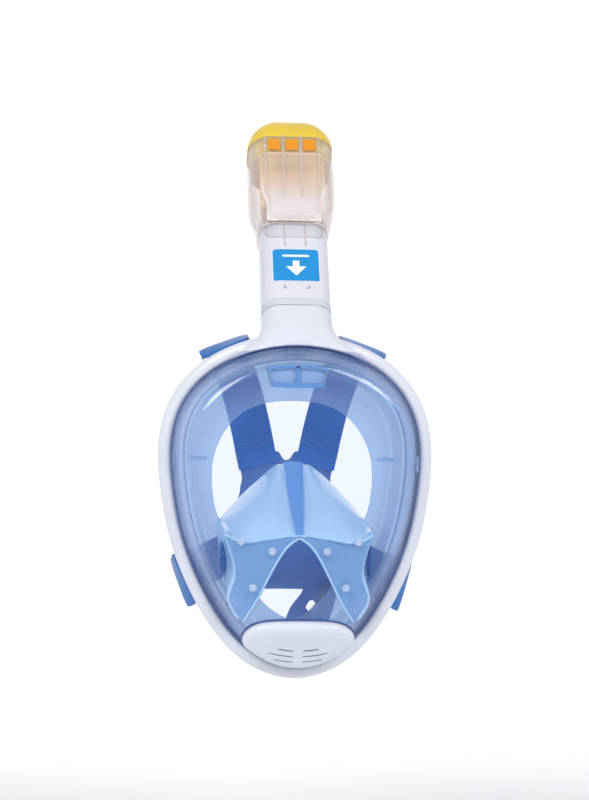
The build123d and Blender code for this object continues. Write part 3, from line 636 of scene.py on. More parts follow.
def lens_seat_and_seal():
    piece("lens_seat", [wrapped_ring(*row) for row in SEAT_RINGS], SEAT, "clear_plastic",
          thick=0.8)
    rings = [seal_ring(0, -7.2), seal_ring(1, -7.6), seal_ring(1, -8.6), seal_ring(0, -8.8)]
    piece("lens_seal", rings, NAVY, "seal_dark")


# ---------------------------------------------------------------- skirt
# The +X half of the face opening: x, z
OPENING_HALF = ((0, 74), (20, 72), (36, 65), (48, 52), (55, 36), (57, 18), (55, 0), (50, -14),
                (44, -32), (36, -48), (27, -60), (16, -72), (0, -80))
OPENING_CENTRE_Z = 5
# The skirt's wall: inset, distance behind the curved front plane
SKIRT_WALL = ((18.4, 1.6), (19.0, 1.2), (19.6, 2.0), (19.9, 6), (20.6, 16), (21.4, 26),
              (21.9, 32))
# Its rear face: part of the way from wall to opening, distance behind the front plane
SKIRT_FACE = ((0.06, 35.0), (0.2, 36.2), (0.38, 35.4), (0.6, 35.8), (0.8, 37.0), (0.93, 38.0),
              (1.0, 38.8))
SKIRT_FACE_INSET = 22.5
RIB_PROFILE = ((0, 32.0), (1.6, 32.4), (1.9, 33.2), (1.6, 34.0), (0, 34.4))  # height forwards, z

opening = closed_spline(OPENING_HALF, 12)
opening_angles = np.arctan2(opening[:, 0], opening[:, 1] - OPENING_CENTRE_Z)
opening_radii = np.hypot(opening[:, 0], opening[:, 1] - OPENING_CENTRE_Z)


def skirt_ring(part, behind):
    points = []
    for angle in RING_ANGLES:
        x, z = ring_xz(angle)
        a = math.atan2(x, z - OPENING_CENTRE_Z)
        radius = np.interp(a, opening_angles, opening_radii, period=2 * math.pi)
        wall_x, wall_z = ring_xz(angle, SKIRT_FACE_INSET)
        x = lerp(wall_x, radius * math.sin(a), part)
        z = lerp(wall_z, OPENING_CENTRE_Z + radius * math.cos(a), part)
        points.append((x, wrap(x, z) + behind, z))
    return points


def skirt():
    rings = [wrapped_ring(*row) for row in SKIRT_WALL] + [skirt_ring(*row) for row in SKIRT_FACE]
    piece("skirt_body", rings, SKIRT, "skirt_silicone", "face_skirt", angle=0, thick=1.6,
          divide=True)
    for side, word in SIDES:  # ribs across the skirt at eye height
        rows = []
        for x in np.linspace(59.5, 74.5, 10):
            y = wrap(x, 33) + 34.2
            rows.append([(side * x, y - height, z) for height, z in RIB_PROFILE])
        piece("skirt_rib_" + word, rows, SKIRT, "skirt_silicone", close=False)


# ---------------------------------------------------------------- nose cup
# The +X halves of the cup top's rear and front edges: x, z
CUP_REAR_HALF = ((0, 30.6), (6, 30.4), (11.7, 27.9), (18, 22.8), (24.7, 16.3), (31, 10.2),
                 (37.9, 3.2), (45, -4.8), (52, -12.2))
CUP_RIDGE_HALF = ((0, -16.0), (5, -17.2), (12, -18.4), (18, -19.3), (26, -20.9), (33, -22.0),
                  (38, -22.0), (45, -19.8), (50.5, -16.0))
CUP_REAR_WIDTH, CUP_RIDGE_WIDTH = CUP_REAR_HALF[-1][0], CUP_RIDGE_HALF[-1][0]  # half widths
CUP_COLUMNS, CUP_ROWS = 72, 22
# The front panel's +X leg: its edge on the V opening and its outer edge: x, z
V_HALF = ((0.0, -18.2), (5.0, -20.5), (9.5, -25.0), (14.5, -33.0), (19.5, -42.5), (25.0, -54.0),
          (30.5, -64.5), (37.0, -74.5))
PANEL_OUTER_HALF = ((50.5, -15.8), (48.0, -23.0), (45.2, -31.0), (43.0, -38.0), (42.6, -44.0),
                    (46.5, -51.5), (49.5, -58.0), (47.5, -64.5), (40.5, -74.0))
LEG_ROWS = 26
leg_inner = smooth_resample(V_HALF, LEG_ROWS, 4)
leg_outer = smooth_resample(PANEL_OUTER_HALF, LEG_ROWS, 6)
STUD_PLACES = ((39.5, -20.5), (18.4, -27), (31.2, -51.5))  # x, z on the +X side
# A domed stud with a dimple: radius, y from the stud's base
STUD_PROFILE = ((2.7, 0.6), (2.7, -0.5), (2.3, -1.1), (1.6, -1.3), (1.1, -0.8), (0.3, -0.6))


def along_half(table, x):
    return float(np.interp(abs(x), *zip(*table)))


def cup_top():
    """The cup's top, two lobes with a groove between; k runs from rear to front."""
    rows = []
    for j in range(CUP_ROWS + 1):
        k = j / CUP_ROWS
        row = []
        for i in range(CUP_COLUMNS + 1):
            across = -1 + 2 * i / CUP_COLUMNS
            rear_x, ridge_x = CUP_REAR_WIDTH * across, CUP_RIDGE_WIDTH * across
            x = lerp(rear_x, ridge_x, k)
            y = lerp(40.0, -29.0, k)
            z = lerp(along_half(CUP_REAR_HALF, rear_x), along_half(CUP_RIDGE_HALF, ridge_x), k)
            out = abs(across)
            lobe = math.sin(math.pi * min(max((out - 0.10) / 0.82, 0), 1)) ** 0.8
            groove = 1 - smooth01((out - lerp(0.15, 0.055, k)) / 0.06)
            swell = math.sin(math.pi * k) ** 0.8
            z += 6.5 * lobe * swell + 0.5 * swell - 3.2 * groove * (0.35 + 0.65 * swell)
            y -= 5.0 * lobe * swell
            z -= 0.8 * smooth01((k - 0.86) / 0.14)  # rolls over into the panel
            row.append((x, y, z))
        rows.append(row)
    piece("nose_cup_top", rows, CUP_PAINTED_LIGHT, "cup_silicone", "oral_nasal_cup", close=False, angle=0,
          thick=1.8, offset=1.0, divide=True)


def cup_web():
    """The slightly darker strip between the lobes: painted shade in the groove."""
    profile = ((-1, -0.2, 0.1), (-0.6, -0.7, 0.6), (0, -0.9, 0.8), (0.6, -0.7, 0.6),
               (1, -0.2, 0.1))  # part of the half width, dy, dz
    rows = []
    for j in range(CUP_ROWS + 1):
        k = j / CUP_ROWS
        half_width = lerp(7.4, 2.6, k ** 0.7)
        y = lerp(39.6, -29.4, k)
        z = lerp(30.6, -16.0, k) + 1.0 * math.sin(math.pi * k) ** 0.8
        rows.append([(half_width * across, y + dy, z + dz) for across, dy, dz in profile])
    piece("nose_cup_web", rows, GROOVE_SHADE_AND_DUCT_BLUE, "cup_silicone", close=False, angle=0)


def panel_y(base, x, down):
    """The panel's curve: further back towards its sides and lower down (down is 0 to 1)."""
    return base + 2.2 * (abs(x) / 50) ** 2 + 3.0 * smooth01(down * 1.1)


def cup_panel(side, word):
    """One leg of the front panel, between the V opening and the outer edge."""
    rows = []
    for i in range(LEG_ROWS):
        down = i / (LEG_ROWS - 1)
        row = []
        for j in range(15):
            k = j / 14
            x, z = lerp(leg_inner[i], leg_outer[i], k)
            top = along_half(CUP_RIDGE_HALF, x) - 0.6
            if z > top or i == 0:  # the top edge runs along the ridge
                z = lerp(top, z, smooth01(down * 5))
            y = -29.6 + 2.2 * (abs(x) / 50) ** 2 + 3.0 * smooth01(down * 1.1) * (1 - 0.3 * k)
            # crease line part-way across
            y -= 0.9 * math.exp(-((k - 0.42) / 0.05) ** 2) * smooth01((down - 0.12) / 0.1)
            row.append((side * x, y, z))
        rows.append(row)
    piece("nose_cup_panel_" + word, rows, CUP_PANEL, "cup_silicone", close=False, angle=0,
          thick=1.8, offset=1.0, divide=True)


def cup_side(side, word):
    """The wall from the panel's outer edge back to the face."""
    rows = []
    for i in range(LEG_ROWS):
        down = i / (LEG_ROWS - 1)
        front_x, front_z = leg_outer[i]
        rear_x = lerp(CUP_REAR_WIDTH, 33.0, smooth01((down - 0.45) / 0.55))
        rear_y = 40.0 - 6 * smooth01((down - 0.6) / 0.4)
        rear_z = lerp(-12.0, -62.0, down)
        rows.append([(side * (lerp(front_x, rear_x, k) + 1.5 * math.sin(math.pi * k)),
                      lerp(-27.0, rear_y, k), lerp(front_z, rear_z, k))
                     for k in (j / 13 for j in range(14))])
    piece("nose_cup_side_" + word, rows, CUP_PAINTED_LIGHT, "cup_silicone", close=False, angle=0, thick=1.6)


def cup_studs():
    places = [(side * x, z) for side, _ in SIDES for x, z in STUD_PLACES]
    for i, (x, z) in enumerate(places):
        rows = [[(x + radius * math.cos(a), -32.6 + dy, z + radius * math.sin(a))
                 for a in circle_angles(20)] for radius, dy in STUD_PROFILE]
        piece(f"cup_stud_{i + 1}", rows, STUD, "clear_plastic",
              *(["cup_studs"] if i == 0 else []), caps=(True, True), angle=50)


def cup_highlight_bead(side, word):
    """The bright rolled bead along the V opening, its brightness a painted highlight along the
    edge.
    """
    rows = []
    for i, (x, z) in enumerate(leg_inner):
        y = panel_y(-30.9, x, i / (LEG_ROWS - 1))
        rows.append([(side * (x + 0.75 * math.cos(a)), y + 0.9 * math.sin(a),
                      z + 0.5 * math.cos(a)) for a in circle_angles(8)])
    piece("nose_cup_highlight_bead_" + word, rows, CUP_PAINTED_LIGHT, "cup_silicone", angle=0)


def nose_cup():
    cup_top()
    cup_web()
    for side, word in SIDES:
        cup_panel(side, word)
        cup_side(side, word)
    cup_studs()
    for side, word in SIDES:
        cup_highlight_bead(side, word)


# ---------------------------------------------------------------- forehead duct and lens tabs
# Bars: name, half width, front y, rear y, low z, high z, material,
# end rise at 20 mm from the middle, replaced nodes
DUCT_BARS = (
    ("duct_bar_low", 17.5, 1.3, 4.2, 82.6, 85.8, GROOVE_SHADE_AND_DUCT_BLUE, 1.2, ["forehead_duct"]),
    ("duct_bar_top", 21.0, 1.6, 4.0, 96.4, 98.4, GROOVE_SHADE_AND_DUCT_BLUE, -1.6, []),
    ("duct_divider", 1.3, 1.6, 4.4, 84.5, 97.6, GROOVE_SHADE_AND_DUCT_BLUE, 0.0, []),
    ("duct_pane", 18.6, 4.6, 5.4, 84.0, 97.4, SEAT, -0.6, []),
)
# Tabs on the lens rim: ring angle, half its span, outer and inner inset
LENS_TABS = ((0.0, 0.075, 8.8, 13.5), (-0.62, 0.02, 9.0, 12.0), (0.62, 0.02, 9.0, 12.0),
             (-2.36, 0.05, 9.0, 13.0), (2.36, 0.05, 9.0, 13.0), (-1.36, 0.06, 8.9, 10.8),
             (1.36, 0.06, 8.9, 10.8))


def forehead_duct():
    for name, half, y_front, y_rear, z_low, z_high, material, end_rise, replaced in DUCT_BARS:
        rows = []
        for k in np.linspace(0, 1, 14):
            x = lerp(-half, half, k)
            rise = end_rise * (abs(x) / 20.0) ** 2
            low, high = z_low + rise, z_high + rise
            rows.append([(x, y_front, low), (x, y_front, high), (x, y_rear, high),
                         (x, y_rear, low)])
        piece(name, rows, material, "cup_silicone", *replaced, caps=(True, True))
    for side, word in SIDES:
        rows = []
        for k in np.linspace(0, 1, 10):
            x, z = lerp(17.2, 20.6, k), lerp(83.5, 97.0, k)
            rows.append([(side * (x + dx), y, z)
                         for dx, y in ((-0.7, 1.8), (0.7, 1.8), (0.7, 17.5), (-0.7, 17.5))])
        piece("duct_side_" + word, rows, SKIRT, "cup_silicone", caps=(True, True))


def lens_tabs():
    for i, (angle, half_span, inset_out, inset_in) in enumerate(LENS_TABS):
        rows = []
        for across in np.linspace(-1, 1, 7):
            xa, za = ring_xz(angle + half_span * across, inset_out)
            xb, zb = ring_xz(angle + half_span * across, inset_in)
            ya, yb = wrap(xa, za) - 2.6, wrap(xb, zb) - 3.4
            rows.append([(xa, ya, za), (xa, ya - 1.3, za), (xb, yb - 1.3, zb), (xb, yb, zb)])
        piece(f"lens_tab_{i + 1}", rows, SEAT, "clear_plastic", caps=(True, True))


# ---------------------------------------------------------------- chin valve cover
# The cover's +X half on the chin facet: x, distance up the facet
COVER_HALF = ((0, 23.6), (10, 23.5), (20, 22.9), (28, 20.9), (33.4, 17.2), (36.6, 12.8),
              (37.8, 8.6), (37.6, 5.4), (35.8, 1.8), (31.0, -3.0), (25.5, -7.6), (19, -12.2),
              (11, -15.8), (5, -17.2), (0, -17.5))
# Its domed section: scale of the outline, height off the facet
COVER_SECTION = ((1.0, 0.4), (1.0, 3.6), (0.99, 5.0), (0.965, 6.2), (0.92, 7.0), (0.86, 7.5),
                 (0.7, 7.9), (0.5, 8.0), (0.25, 8.0), (0.08, 8.0))
GASKET_SECTION = ((0.9, 0.3), (1.0, 0.9), (0.7, 1.4), (-1.5, 1.5))  # outward growth, height
GASKET_CENTRE = 1.0
# Slots: distance up, inner x, outer x, half height, rise at 15 mm out
COVER_SLOTS = ((1.6, 3.0, 14.0, 0.62, 2.2), (-4.0, 2.6, 20.0, 0.5, 2.2),
               (-9.0, 2.8, 16.5, 0.38, 2.0))


def chin_point(x, up, off):
    return CHIN_CENTRE + np.array((1.0, 0, 0)) * x + CHIN_UP * up + CHIN_NORMAL * off


def chin_cover():
    outline = closed_spline(COVER_HALF, 6)
    rows = [[chin_point(x * scale, (up + 0.5) * scale - 0.5, off) for x, up in outline]
            for scale, off in COVER_SECTION]
    piece("chin_cover", rows, COVER_WHITE, "white_shell", "chin_valve_cover",
          caps=(False, True), angle=0, thick=1.2)
    rows = []
    for grow, off in GASKET_SECTION:
        row = []
        for x, up in outline:
            scale = 1 + grow / math.hypot(x, up - GASKET_CENTRE)
            row.append(chin_point(x * scale, GASKET_CENTRE + (up - GASKET_CENTRE) * scale, off))
        rows.append(row)
    piece("chin_cover_gasket", rows, NAVY, "seal_dark")


def cover_slots():
    # each slot is a dark patch on the cover's dome: painted shade inside the opening
    for i, (middle, inner_x, outer_x, half_height, rise) in enumerate(COVER_SLOTS):
        for side, word in SIDES:
            top, bottom = [], []
            for k in np.linspace(0, 1, 14):
                x = lerp(inner_x, outer_x, k)
                up = middle + rise * (x / 15) ** 2
                height = half_height * math.sqrt(max(1 - (2 * k - 1) ** 6, 0.02))
                top.append((x, up + height))
                bottom.append((x, up - height))
            rows = [[chin_point(side * x, up, off) for x, up in top + bottom[::-1]]
                    for off in (8.12, 7.2)]
            piece(f"cover_slot_{i + 1}_{word}", rows, SLOT_SHADE, "white_shell",
                  caps=(True, True))


# ---------------------------------------------------------------- snorkel tube
TUBE_WIDTH, TUBE_DEPTH, TUBE_RADIUS = 48.6, 36.0, 13.5
TUBE_OUTER = (TUBE_WIDTH, TUBE_DEPTH, TUBE_RADIUS)
# Stations up the outside, then back down the bore: height, width, depth, corner radius
TUBE_SECTIONS = (
    (13, 44.8, 32.2, 11.6), (31.2, 44.8, 32.2, 11.6), (31.6, 47.6, 35.0, 13.0),
    (32.1, *TUBE_OUTER), (60, *TUBE_OUTER), (86, *TUBE_OUTER), (99.4, *TUBE_OUTER),
    (100, 48.0, 35.4, 13.2), (100, 44.6, 32, 11.5), (34, 44.6, 32, 11.5),
)


def tube_shell():
    piece("tube_shell", [tube_ring(*row) for row in TUBE_SECTIONS], TUBE_WHITE, "white_shell",
          "snorkel_tube", body="snorkel", caps=(True, True), angle=30)


def front_surface(x, up, lift=0.0):
    """A point on the tube's front at x and up, lifted off the surface."""
    flat = TUBE_WIDTH / 2 - TUBE_RADIUS
    if abs(x) <= flat:
        return tube(x, -TUBE_DEPTH / 2 - lift, up)
    normal_x = min((abs(x) - flat) / TUBE_RADIUS, 1.0)
    normal_y = -math.sqrt(max(1 - normal_x * normal_x, 0))
    return tube(math.copysign(abs(x) + normal_x * lift, x),
                -(TUBE_DEPTH / 2 - TUBE_RADIUS) + normal_y * TUBE_RADIUS + normal_y * lift, up)


def decal(name, outline, material, lift, *replaced, slot="label_blue"):
    """A thin patch that follows the tube's front, for print, the clear window and painted shade.
    """
    bm = bmesh.new()
    bm.faces.new([bm.verts.new((x, up, 0)) for x, up in outline])
    bmesh.ops.triangulate(bm, faces=bm.faces)
    for x in np.arange(-18, 18.01, 1.5):
        parts = list(bm.verts) + list(bm.edges) + list(bm.faces)
        bmesh.ops.bisect_plane(bm, geom=parts, plane_co=(x, 0, 0), plane_no=(1, 0, 0))
    mesh = bpy.data.meshes.new(name)
    for v in bm.verts:
        v.co = to_metres(front_surface(v.co.x, v.co.y, lift))
    bmesh.ops.recalc_face_normals(bm, faces=bm.faces)
    bm.to_mesh(mesh)
    bm.free()
    o = link_object(name, mesh)
    mesh.materials.append(material)
    put(o, "snorkel", slot, *replaced)


def panel_outline(half_width, low, high, radius, n=5):
    """A rounded rectangle on the tube's front, centred on x = 0."""
    middle = (low + high) / 2
    return [(x, middle + up) for x, up in rounded_rect(2 * half_width, high - low, radius, n)]


def tube_label():
    decal("label_border", panel_outline(16.6, 46.5, 75.5, 1.7), LABEL_WHITE, 0.16, "tube_label")
    decal("label_field", panel_outline(16.1, 47.0, 75.0, 1.5), LABEL_BLUE, 0.24)
    decal("label_arrow_shaft", [(-2.3, 59.6), (2.3, 59.6), (2.3, 64.8), (-2.3, 64.8)],
          LABEL_WHITE, 0.32)
    decal("label_arrow_head", [(-7.2, 59.7), (0, 51.6), (7.2, 59.7)], LABEL_WHITE, 0.34)
    decal("label_bar", panel_outline(9.5, 68.2, 70.0, 0.85), LABEL_WHITE, 0.32)
    corner = ((9.1, 43.4), (9.1, 40.4), (6.5, 40.4), (6.5, 41.1), (8.4, 41.1), (8.4, 43.4))
    for side, word in SIDES:  # small L-shaped corner marks under the label: painted shade of two recessed snap windows
        decal("tube_recess_shade_" + word, [(side * x, up) for x, up in corner], SLOT_SHADE, 0.06,
              slot="white_shell")


def raised_strips(name, heights, place, profile):
    """Mirrored strips up the snorkel's front; profile is (dx, lift)."""
    for side, word in SIDES:
        rows = [[place(side, dx, lift, up) for dx, lift in profile] for up in heights]
        piece(f"{name}_{word}", rows, RIM, "clear_plastic", body="snorkel", close=False)


def tube_window():
    """The clear window in the upper front of the tube, with a rim and two ribs."""
    decal("tube_window", panel_outline(20.0, 86.5, 118, 6.0, 8), CLEAR, 0.45,
          slot="clear_plastic")
    outer = panel_outline(20.6, 85.9, 118.4, 6.4, 8)
    inner = panel_outline(19.9, 86.6, 117.8, 5.9, 8)
    rows = [[front_surface(x, up, lift) for x, up in outline]
            for outline, lift in ((outer, 0.1), (outer, 0.6), (inner, 0.6), (inner, 0.1))]
    piece("tube_window_rim", rows, RIM, "clear_plastic", body="snorkel")
    raised_strips("tube_rib", np.linspace(78, 117, 12),
                  lambda side, dx, lift, up: front_surface(side * 7.3 + dx, up, lift),
                  ((-0.6, 0.0), (-0.45, 0.5), (0.45, 0.5), (0.6, 0.0)))


# ---------------------------------------------------------------- snorkel head
HEAD_WIDTH, HEAD_DEPTH = 62, 46
HEAD_FRONT_Y = -HEAD_DEPTH / 2
# Stations: height, width, depth, corner radius
HEAD_SECTIONS = (
    (97.0, 50.4, 40.0, 14.5), (98.0, 50.8, 42.5, 15.0), (100.5, 51.2, 44.6, 15.6),
    (104, 51.6, 45.6, 16), (110, 52.2, HEAD_DEPTH, 16), (112, 52.6, HEAD_DEPTH, 16),
    (114, 54.0, HEAD_DEPTH, 16.2), (116, 56.2, HEAD_DEPTH, 16.5), (119, 58.6, HEAD_DEPTH, 16.8),
    (123, 60.6, HEAD_DEPTH, 17), (128, 61.7, HEAD_DEPTH, 17),
    *((up, HEAD_WIDTH, HEAD_DEPTH, 17) for up in (134, 140, 160, 177.6)),
)
CAP_WIDTH, CAP_DEPTH, CAP_RADIUS = 62.5, 46.5, 17
CAP_BASE, CAP_RISE = 176.2, 27.6
BOSS_PROFILE = ((6.2, 0.0), (6.0, 1.2), (5.0, 2.0), (3.0, 2.5), (0.6, 2.6))  # radius, lift


def head_housing():
    piece("head_housing", [tube_ring(*row) for row in HEAD_SECTIONS], HOUSING, "clear_plastic",
          "top_housing", body="snorkel", angle=0, thick=1.8)

    def panel_edge(side, dx, lift, up):
        half_width = lerp(17.4, 19.4, smooth01((up - 104) / 40))
        return tube(side * (half_width + dx),
                    HEAD_FRONT_Y + 0.075 * (half_width - 14) - lift, up)

    raised_strips("head_edge", np.linspace(104, 177, 24), panel_edge,
                  ((-0.55, -0.3), (-0.35, 0.35), (0.35, 0.35), (0.55, -0.3)))
    raised_strips("head_post", np.linspace(120, 178, 20),
                  lambda side, dx, lift, up: tube(side * 6.45 + dx, HEAD_FRONT_Y - lift, up),
                  ((-0.7, -0.3), (-0.5, 0.35), (0.5, 0.35), (0.7, -0.3)))


def cap_dome():
    """The yellow dome over the head, with a short inner skirt."""
    rings = [tube_ring(163.8, 57.4, 41.4, 14.8), tube_ring(175.8, 57.4, 41.4, 14.8),
             tube_ring(176.0, CAP_WIDTH, CAP_DEPTH, CAP_RADIUS)]
    for k in np.linspace(0, 1, 22):
        a = k * math.pi / 2
        scale = math.cos(a) ** 0.98
        rings.append(tube_ring(CAP_BASE + CAP_RISE * math.sin(a), max(CAP_WIDTH * scale, 0.6),
                               max(CAP_DEPTH * scale, 0.5), max(CAP_RADIUS * scale, 0.2)))
    piece("cap_dome", rings, YELLOW, "cap_yellow", "top_cap", body="snorkel",
          caps=(False, True), thick=1.4)


def air_windows():
    """Amber windows at the cap's inner skirt, front and rear: the yellow cap's inside in painted
    shade.
    """
    outline = rounded_rect(9.0, 10.4, 1.8, 5)
    for j, middle in enumerate((-12.9, 0, 12.9)):
        for facing, word in ((-1, "front"), (1, "rear")):
            rows = [[tube(middle + x, facing * (23.05 + lift), 168.4 + up) for x, up in outline]
                    for lift in (0.0, 0.3)]
            piece(f"air_window_{j + 1}_{word}", rows, CAP_YELLOW_PAINTED_SHADE, "cap_yellow", body="snorkel",
                  caps=(True, True))


def head_liner():
    rows = []
    for up in np.linspace(99.5, 164, 16):
        half_width = lerp(19.5, 23.5, smooth01((up - 114) / 18))
        rows.append([tube(x, -20.2 + 1.6 * smooth01((abs(x) - 17) / 8), up)
                     for x in np.linspace(-half_width, half_width, 16)])
    piece("head_liner", rows, LINER, "clear_plastic", body="snorkel", close=False, angle=0)


def float_details():
    rows = [[tube(-1.5 + radius * 1.1 * math.cos(a), -16.6 - lift,
                  141.5 + radius * 0.95 * math.sin(a)) for a in circle_angles(28)]
            for radius, lift in BOSS_PROFILE]
    piece("float_boss", rows, BOSS, "float_orange", body="float", caps=(True, True), angle=0)
    rows = [[tube(12.6 + x, -14.4 - lift, 131 + up) for x, up in rounded_rect(9.0, 8.6, 2.6, 5)]
            for lift in (0.0, 1.2)]
    piece("float_tab", rows, YELLOW, "float_orange", body="float", caps=(True, True))


# ---------------------------------------------------------------- clips
CLIP_TILT = math.radians(77)  # from straight outwards towards the rear


class Clip:
    """A clip's own axes: across along the mask's edge, rearwards, and lifted outwards."""

    def __init__(self, degrees):
        angle = math.radians(degrees)
        x, z = ring_xz(angle, 4.3)
        x_out, z_out = ring_xz(angle, 3.3)
        self.origin = np.array((x, wrap(x, z) + 20.0, z))
        outward = np.array((x_out - x, 0, z_out - z))
        self.outward = outward / np.linalg.norm(outward)
        self.edge = np.cross((0, 1, 0), self.outward)
        self.rearward = (self.outward * math.cos(CLIP_TILT)
                         + np.array((0, 1.0, 0)) * math.sin(CLIP_TILT))
        self.lift = np.cross(self.edge, self.rearward)

    def at(self, across, rear, lift=0.0):
        return self.origin + self.edge * across + self.rearward * rear + self.lift * lift


CLIPS = {"upper_left": Clip(-25.5), "upper_right": Clip(25.5),
         "lower_left": Clip(-130.5), "lower_right": Clip(130.5)}
# Cover stations: distance rearwards, trim of the half width, dip
CLIP_COVER_STATIONS = ((7.5, 0, 1.0), (8.3, 0, 0.2), (11, 0, 0), (14, 0, 0), (18, 0, 0),
                       (21, 0, 0), (23.0, 0.5, 0.2), (23.9, 1.5, 1.0))
# Rear rise of a cover: over its whole width, and extra at its lower end
CLIP_COVER_RISE = {"upper_left": (0.2, 2.6), "upper_right": (0.2, 2.6),
                   "lower_left": (0.2, 3.4), "lower_right": (2.6, 6.4)}


def clip_cover(word, clip):
    """The smooth cover over the buckle, domed across its width."""
    low_end = 1 if clip.at(1, 15, 3)[2] < clip.at(-1, 15, 3)[2] else -1
    flat, wedge = CLIP_COVER_RISE[word]
    rows = []
    for rear, trim, dip in CLIP_COVER_STATIONS:
        half_width = lerp(15.4, 18.2, smooth01((rear - 7) / 6)) - trim
        rise = smooth01((rear - 7) / 15) if dip < 0.5 else 0  # the end rows stay down
        rows.append([clip.at(half_width * u, rear,
                             3.5 + rise * (flat + wedge * (1 + low_end * u) / 2)
                             - 0.8 * abs(u) ** 4 - dip) for u in np.linspace(-1, 1, 15)])
    piece("clip_cover_" + word, rows, BLUE, "clip_plastic", body="clip_" + word, close=False,
          angle=0, thick=2.2)


def clips_and_sliders():
    for word, clip in CLIPS.items():
        body = soften("strap_clip_" + word, "clip_" + word, voxel=0.45, rounds=3, material=BLUE)
        put(body, "clip_" + word, "clip_plastic", "strap_clip_" + word)
        clip_cover(word, clip)
    for _, word in SIDES:
        slider = soften("strap_slider_" + word, "slider_" + word, voxel=0.4, rounds=2,
                        material=BLUE)
        put(slider, "mask", "clip_plastic", "strap_slider_" + word)


# ---------------------------------------------------------------- straps
STRAP_HALF_WIDTH, STRAP_HALF_THICKNESS = 14.5, 0.9
# A flat oval with a thin selvedge, in half widths and half thicknesses
STRAP_SECTION = (
    (-1, 0), (-0.985, 0.75), (-0.94, 1.0), (-0.90, 0.86), (-0.5, 0.9), (0, 0.92), (0.5, 0.9),
    (0.90, 0.86), (0.94, 1.0), (0.985, 0.75), (1, 0), (0.985, -0.75), (0.94, -1.0),
    (0.90, -0.86), (0.5, -0.9), (0, -0.92), (-0.5, -0.9), (-0.90, -0.86), (-0.94, -1.0),
    (-0.985, -0.75),
)
# The upper strap's middle line on the +X side after the clip: x, y, z
UPPER_LINE = ((47.6, 77, 109.6), (43, 89.0, 102.0), (37.0, 97.0, 90.0), (31.4, 100.8, 73.0),
              (26.6, 101.9, 54.0), (22.4, 101.9, 34.0), (20.6, 101.9, 26.0))
# The lower strap's middle line from the clip's origin: rearwards, outwards
LOWER_LINE = ((21.8, 5.1), (29, 6.6), (35, 7.0), (41, 5.9), (50, 1.58), (60, -4.6),
              (64.6, -13), (67.25, -24), (67.25, -36), (67.25, -47))
STRAP_ACROSS_X, STRAP_ACROSS_Z = 0.97, 0.235  # the upper strap's cross direction at the pad
STITCH_HEIGHTS = (43.5, 40.5, 34.5)


def clip_turn(clip):
    """The strap's turn round the clip's outer bar."""
    return [clip.at(0, 18.0 + 3.7 * math.cos(a), 1.9 * math.sin(a) - 0.3)
            for a in np.radians(np.linspace(-200, -20, 14))]


def ribbon(name, centres, crossways):
    """A strap along centres; crossways holds its width direction at each of them."""
    rings = []
    for i, centre in enumerate(centres):
        before = centres[max(i - 1, 0)]
        after = centres[min(i + 1, len(centres) - 1)]
        along = (after - before) / np.linalg.norm(after - before)
        across = crossways[i] - along * np.dot(crossways[i], along)
        across = across / np.linalg.norm(across)
        normal = np.cross(along, across)
        rings.append([centre + across * u * STRAP_HALF_WIDTH + normal * v * STRAP_HALF_THICKNESS
                      for u, v in STRAP_SECTION])
    return skin(name, rings, STRAP, caps=(True, True), angle=50)


def upper_strap(side, word):
    clip = CLIPS["upper_" + word]
    turn = clip_turn(clip)
    line = open_spline([clip.at(0, 22.4, 0.3), clip.at(0, 30, 0)]
                       + [(side * x, y, z) for x, y, z in UPPER_LINE], 8)
    at_pad = np.array((STRAP_ACROSS_X, 0, -side * STRAP_ACROSS_Z))
    crossways = [clip.edge] * len(turn)
    for i in range(len(line)):
        k = smooth01(i / len(line) * 2.0)
        crossways.append(clip.edge * (1 - k) + at_pad * k)
    strap = ribbon("strap_upper_" + word, turn + line, crossways)
    put_between(strap, clip.at(0, 24), clip.at(0, 46),
                "upper_strap_" + word)


def stitches(side, word):
    """Stitch rows where the upper strap is sewn to the pad."""
    for i, height in enumerate(STITCH_HEIGHTS):
        middle_x = side * (24.4 - (STITCH_HEIGHTS[0] - height) * 0.22)
        rows = []
        for across in np.linspace(-13.0, 13.0, 53):
            lift = 0.12 + 0.16 * (math.sin(across * 4.8) > 0)
            x = middle_x + across * STRAP_ACROSS_X
            z = height - side * across * STRAP_ACROSS_Z
            rows.append([(x, y - lift, z + dz)
                         for y, dz in ((100.98, -0.28), (100.85, 0), (100.98, 0.28))])
        piece(f"stitch_{word}_{i + 1}", rows, STITCH, "strap_webbing", close=False)


def lower_strap(word):
    clip = CLIPS["lower_" + word]
    line = open_spline([clip.origin + np.array((0, 1.0, 0)) * rear + clip.outward * out
                        for rear, out in LOWER_LINE], 6)
    centres = clip_turn(clip) + line
    strap = ribbon("strap_lower_" + word, centres, [clip.edge] * len(centres))
    put_between(strap, clip.at(0, 24), clip.at(0, 42),
                "lower_strap_" + word)


def straps():
    for side, word in SIDES:
        upper_strap(side, word)
        stitches(side, word)
        lower_strap(word)


# ---------------------------------------------------------------- button spring
def button_spring():
    source = NODES["button_spring"]
    mesh = source.data.copy()
    mesh.transform(source.matrix_world)
    mesh.materials.clear()
    mesh.materials.append(STEEL)
    coil = link_object("button_spring_coil", mesh)
    put(coil, "mask", "steel", "button_spring")
    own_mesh(coil)


# ---------------------------------------------------------------- rear pad and its tail
PAD_MAX_PUFF = 0.9
# The tail's edges on its -X and +X side: x, z
TAIL_LEFT = ((14.0, -58.0), (13.0, -65.5), (4.0, -76.5), (0.0, -86.7), (-1.0, -90.5))
TAIL_RIGHT = ((36.0, -58.0), (38.0, -66.0), (36.0, -76.0), (33.0, -86.0), (31.0, -90.5))
TAIL_ROWS = 22
HOLE_X, HOLE_Z, HOLE_RADIUS_X, HOLE_RADIUS_Z = 19.5, -76, 3.5, 3.6


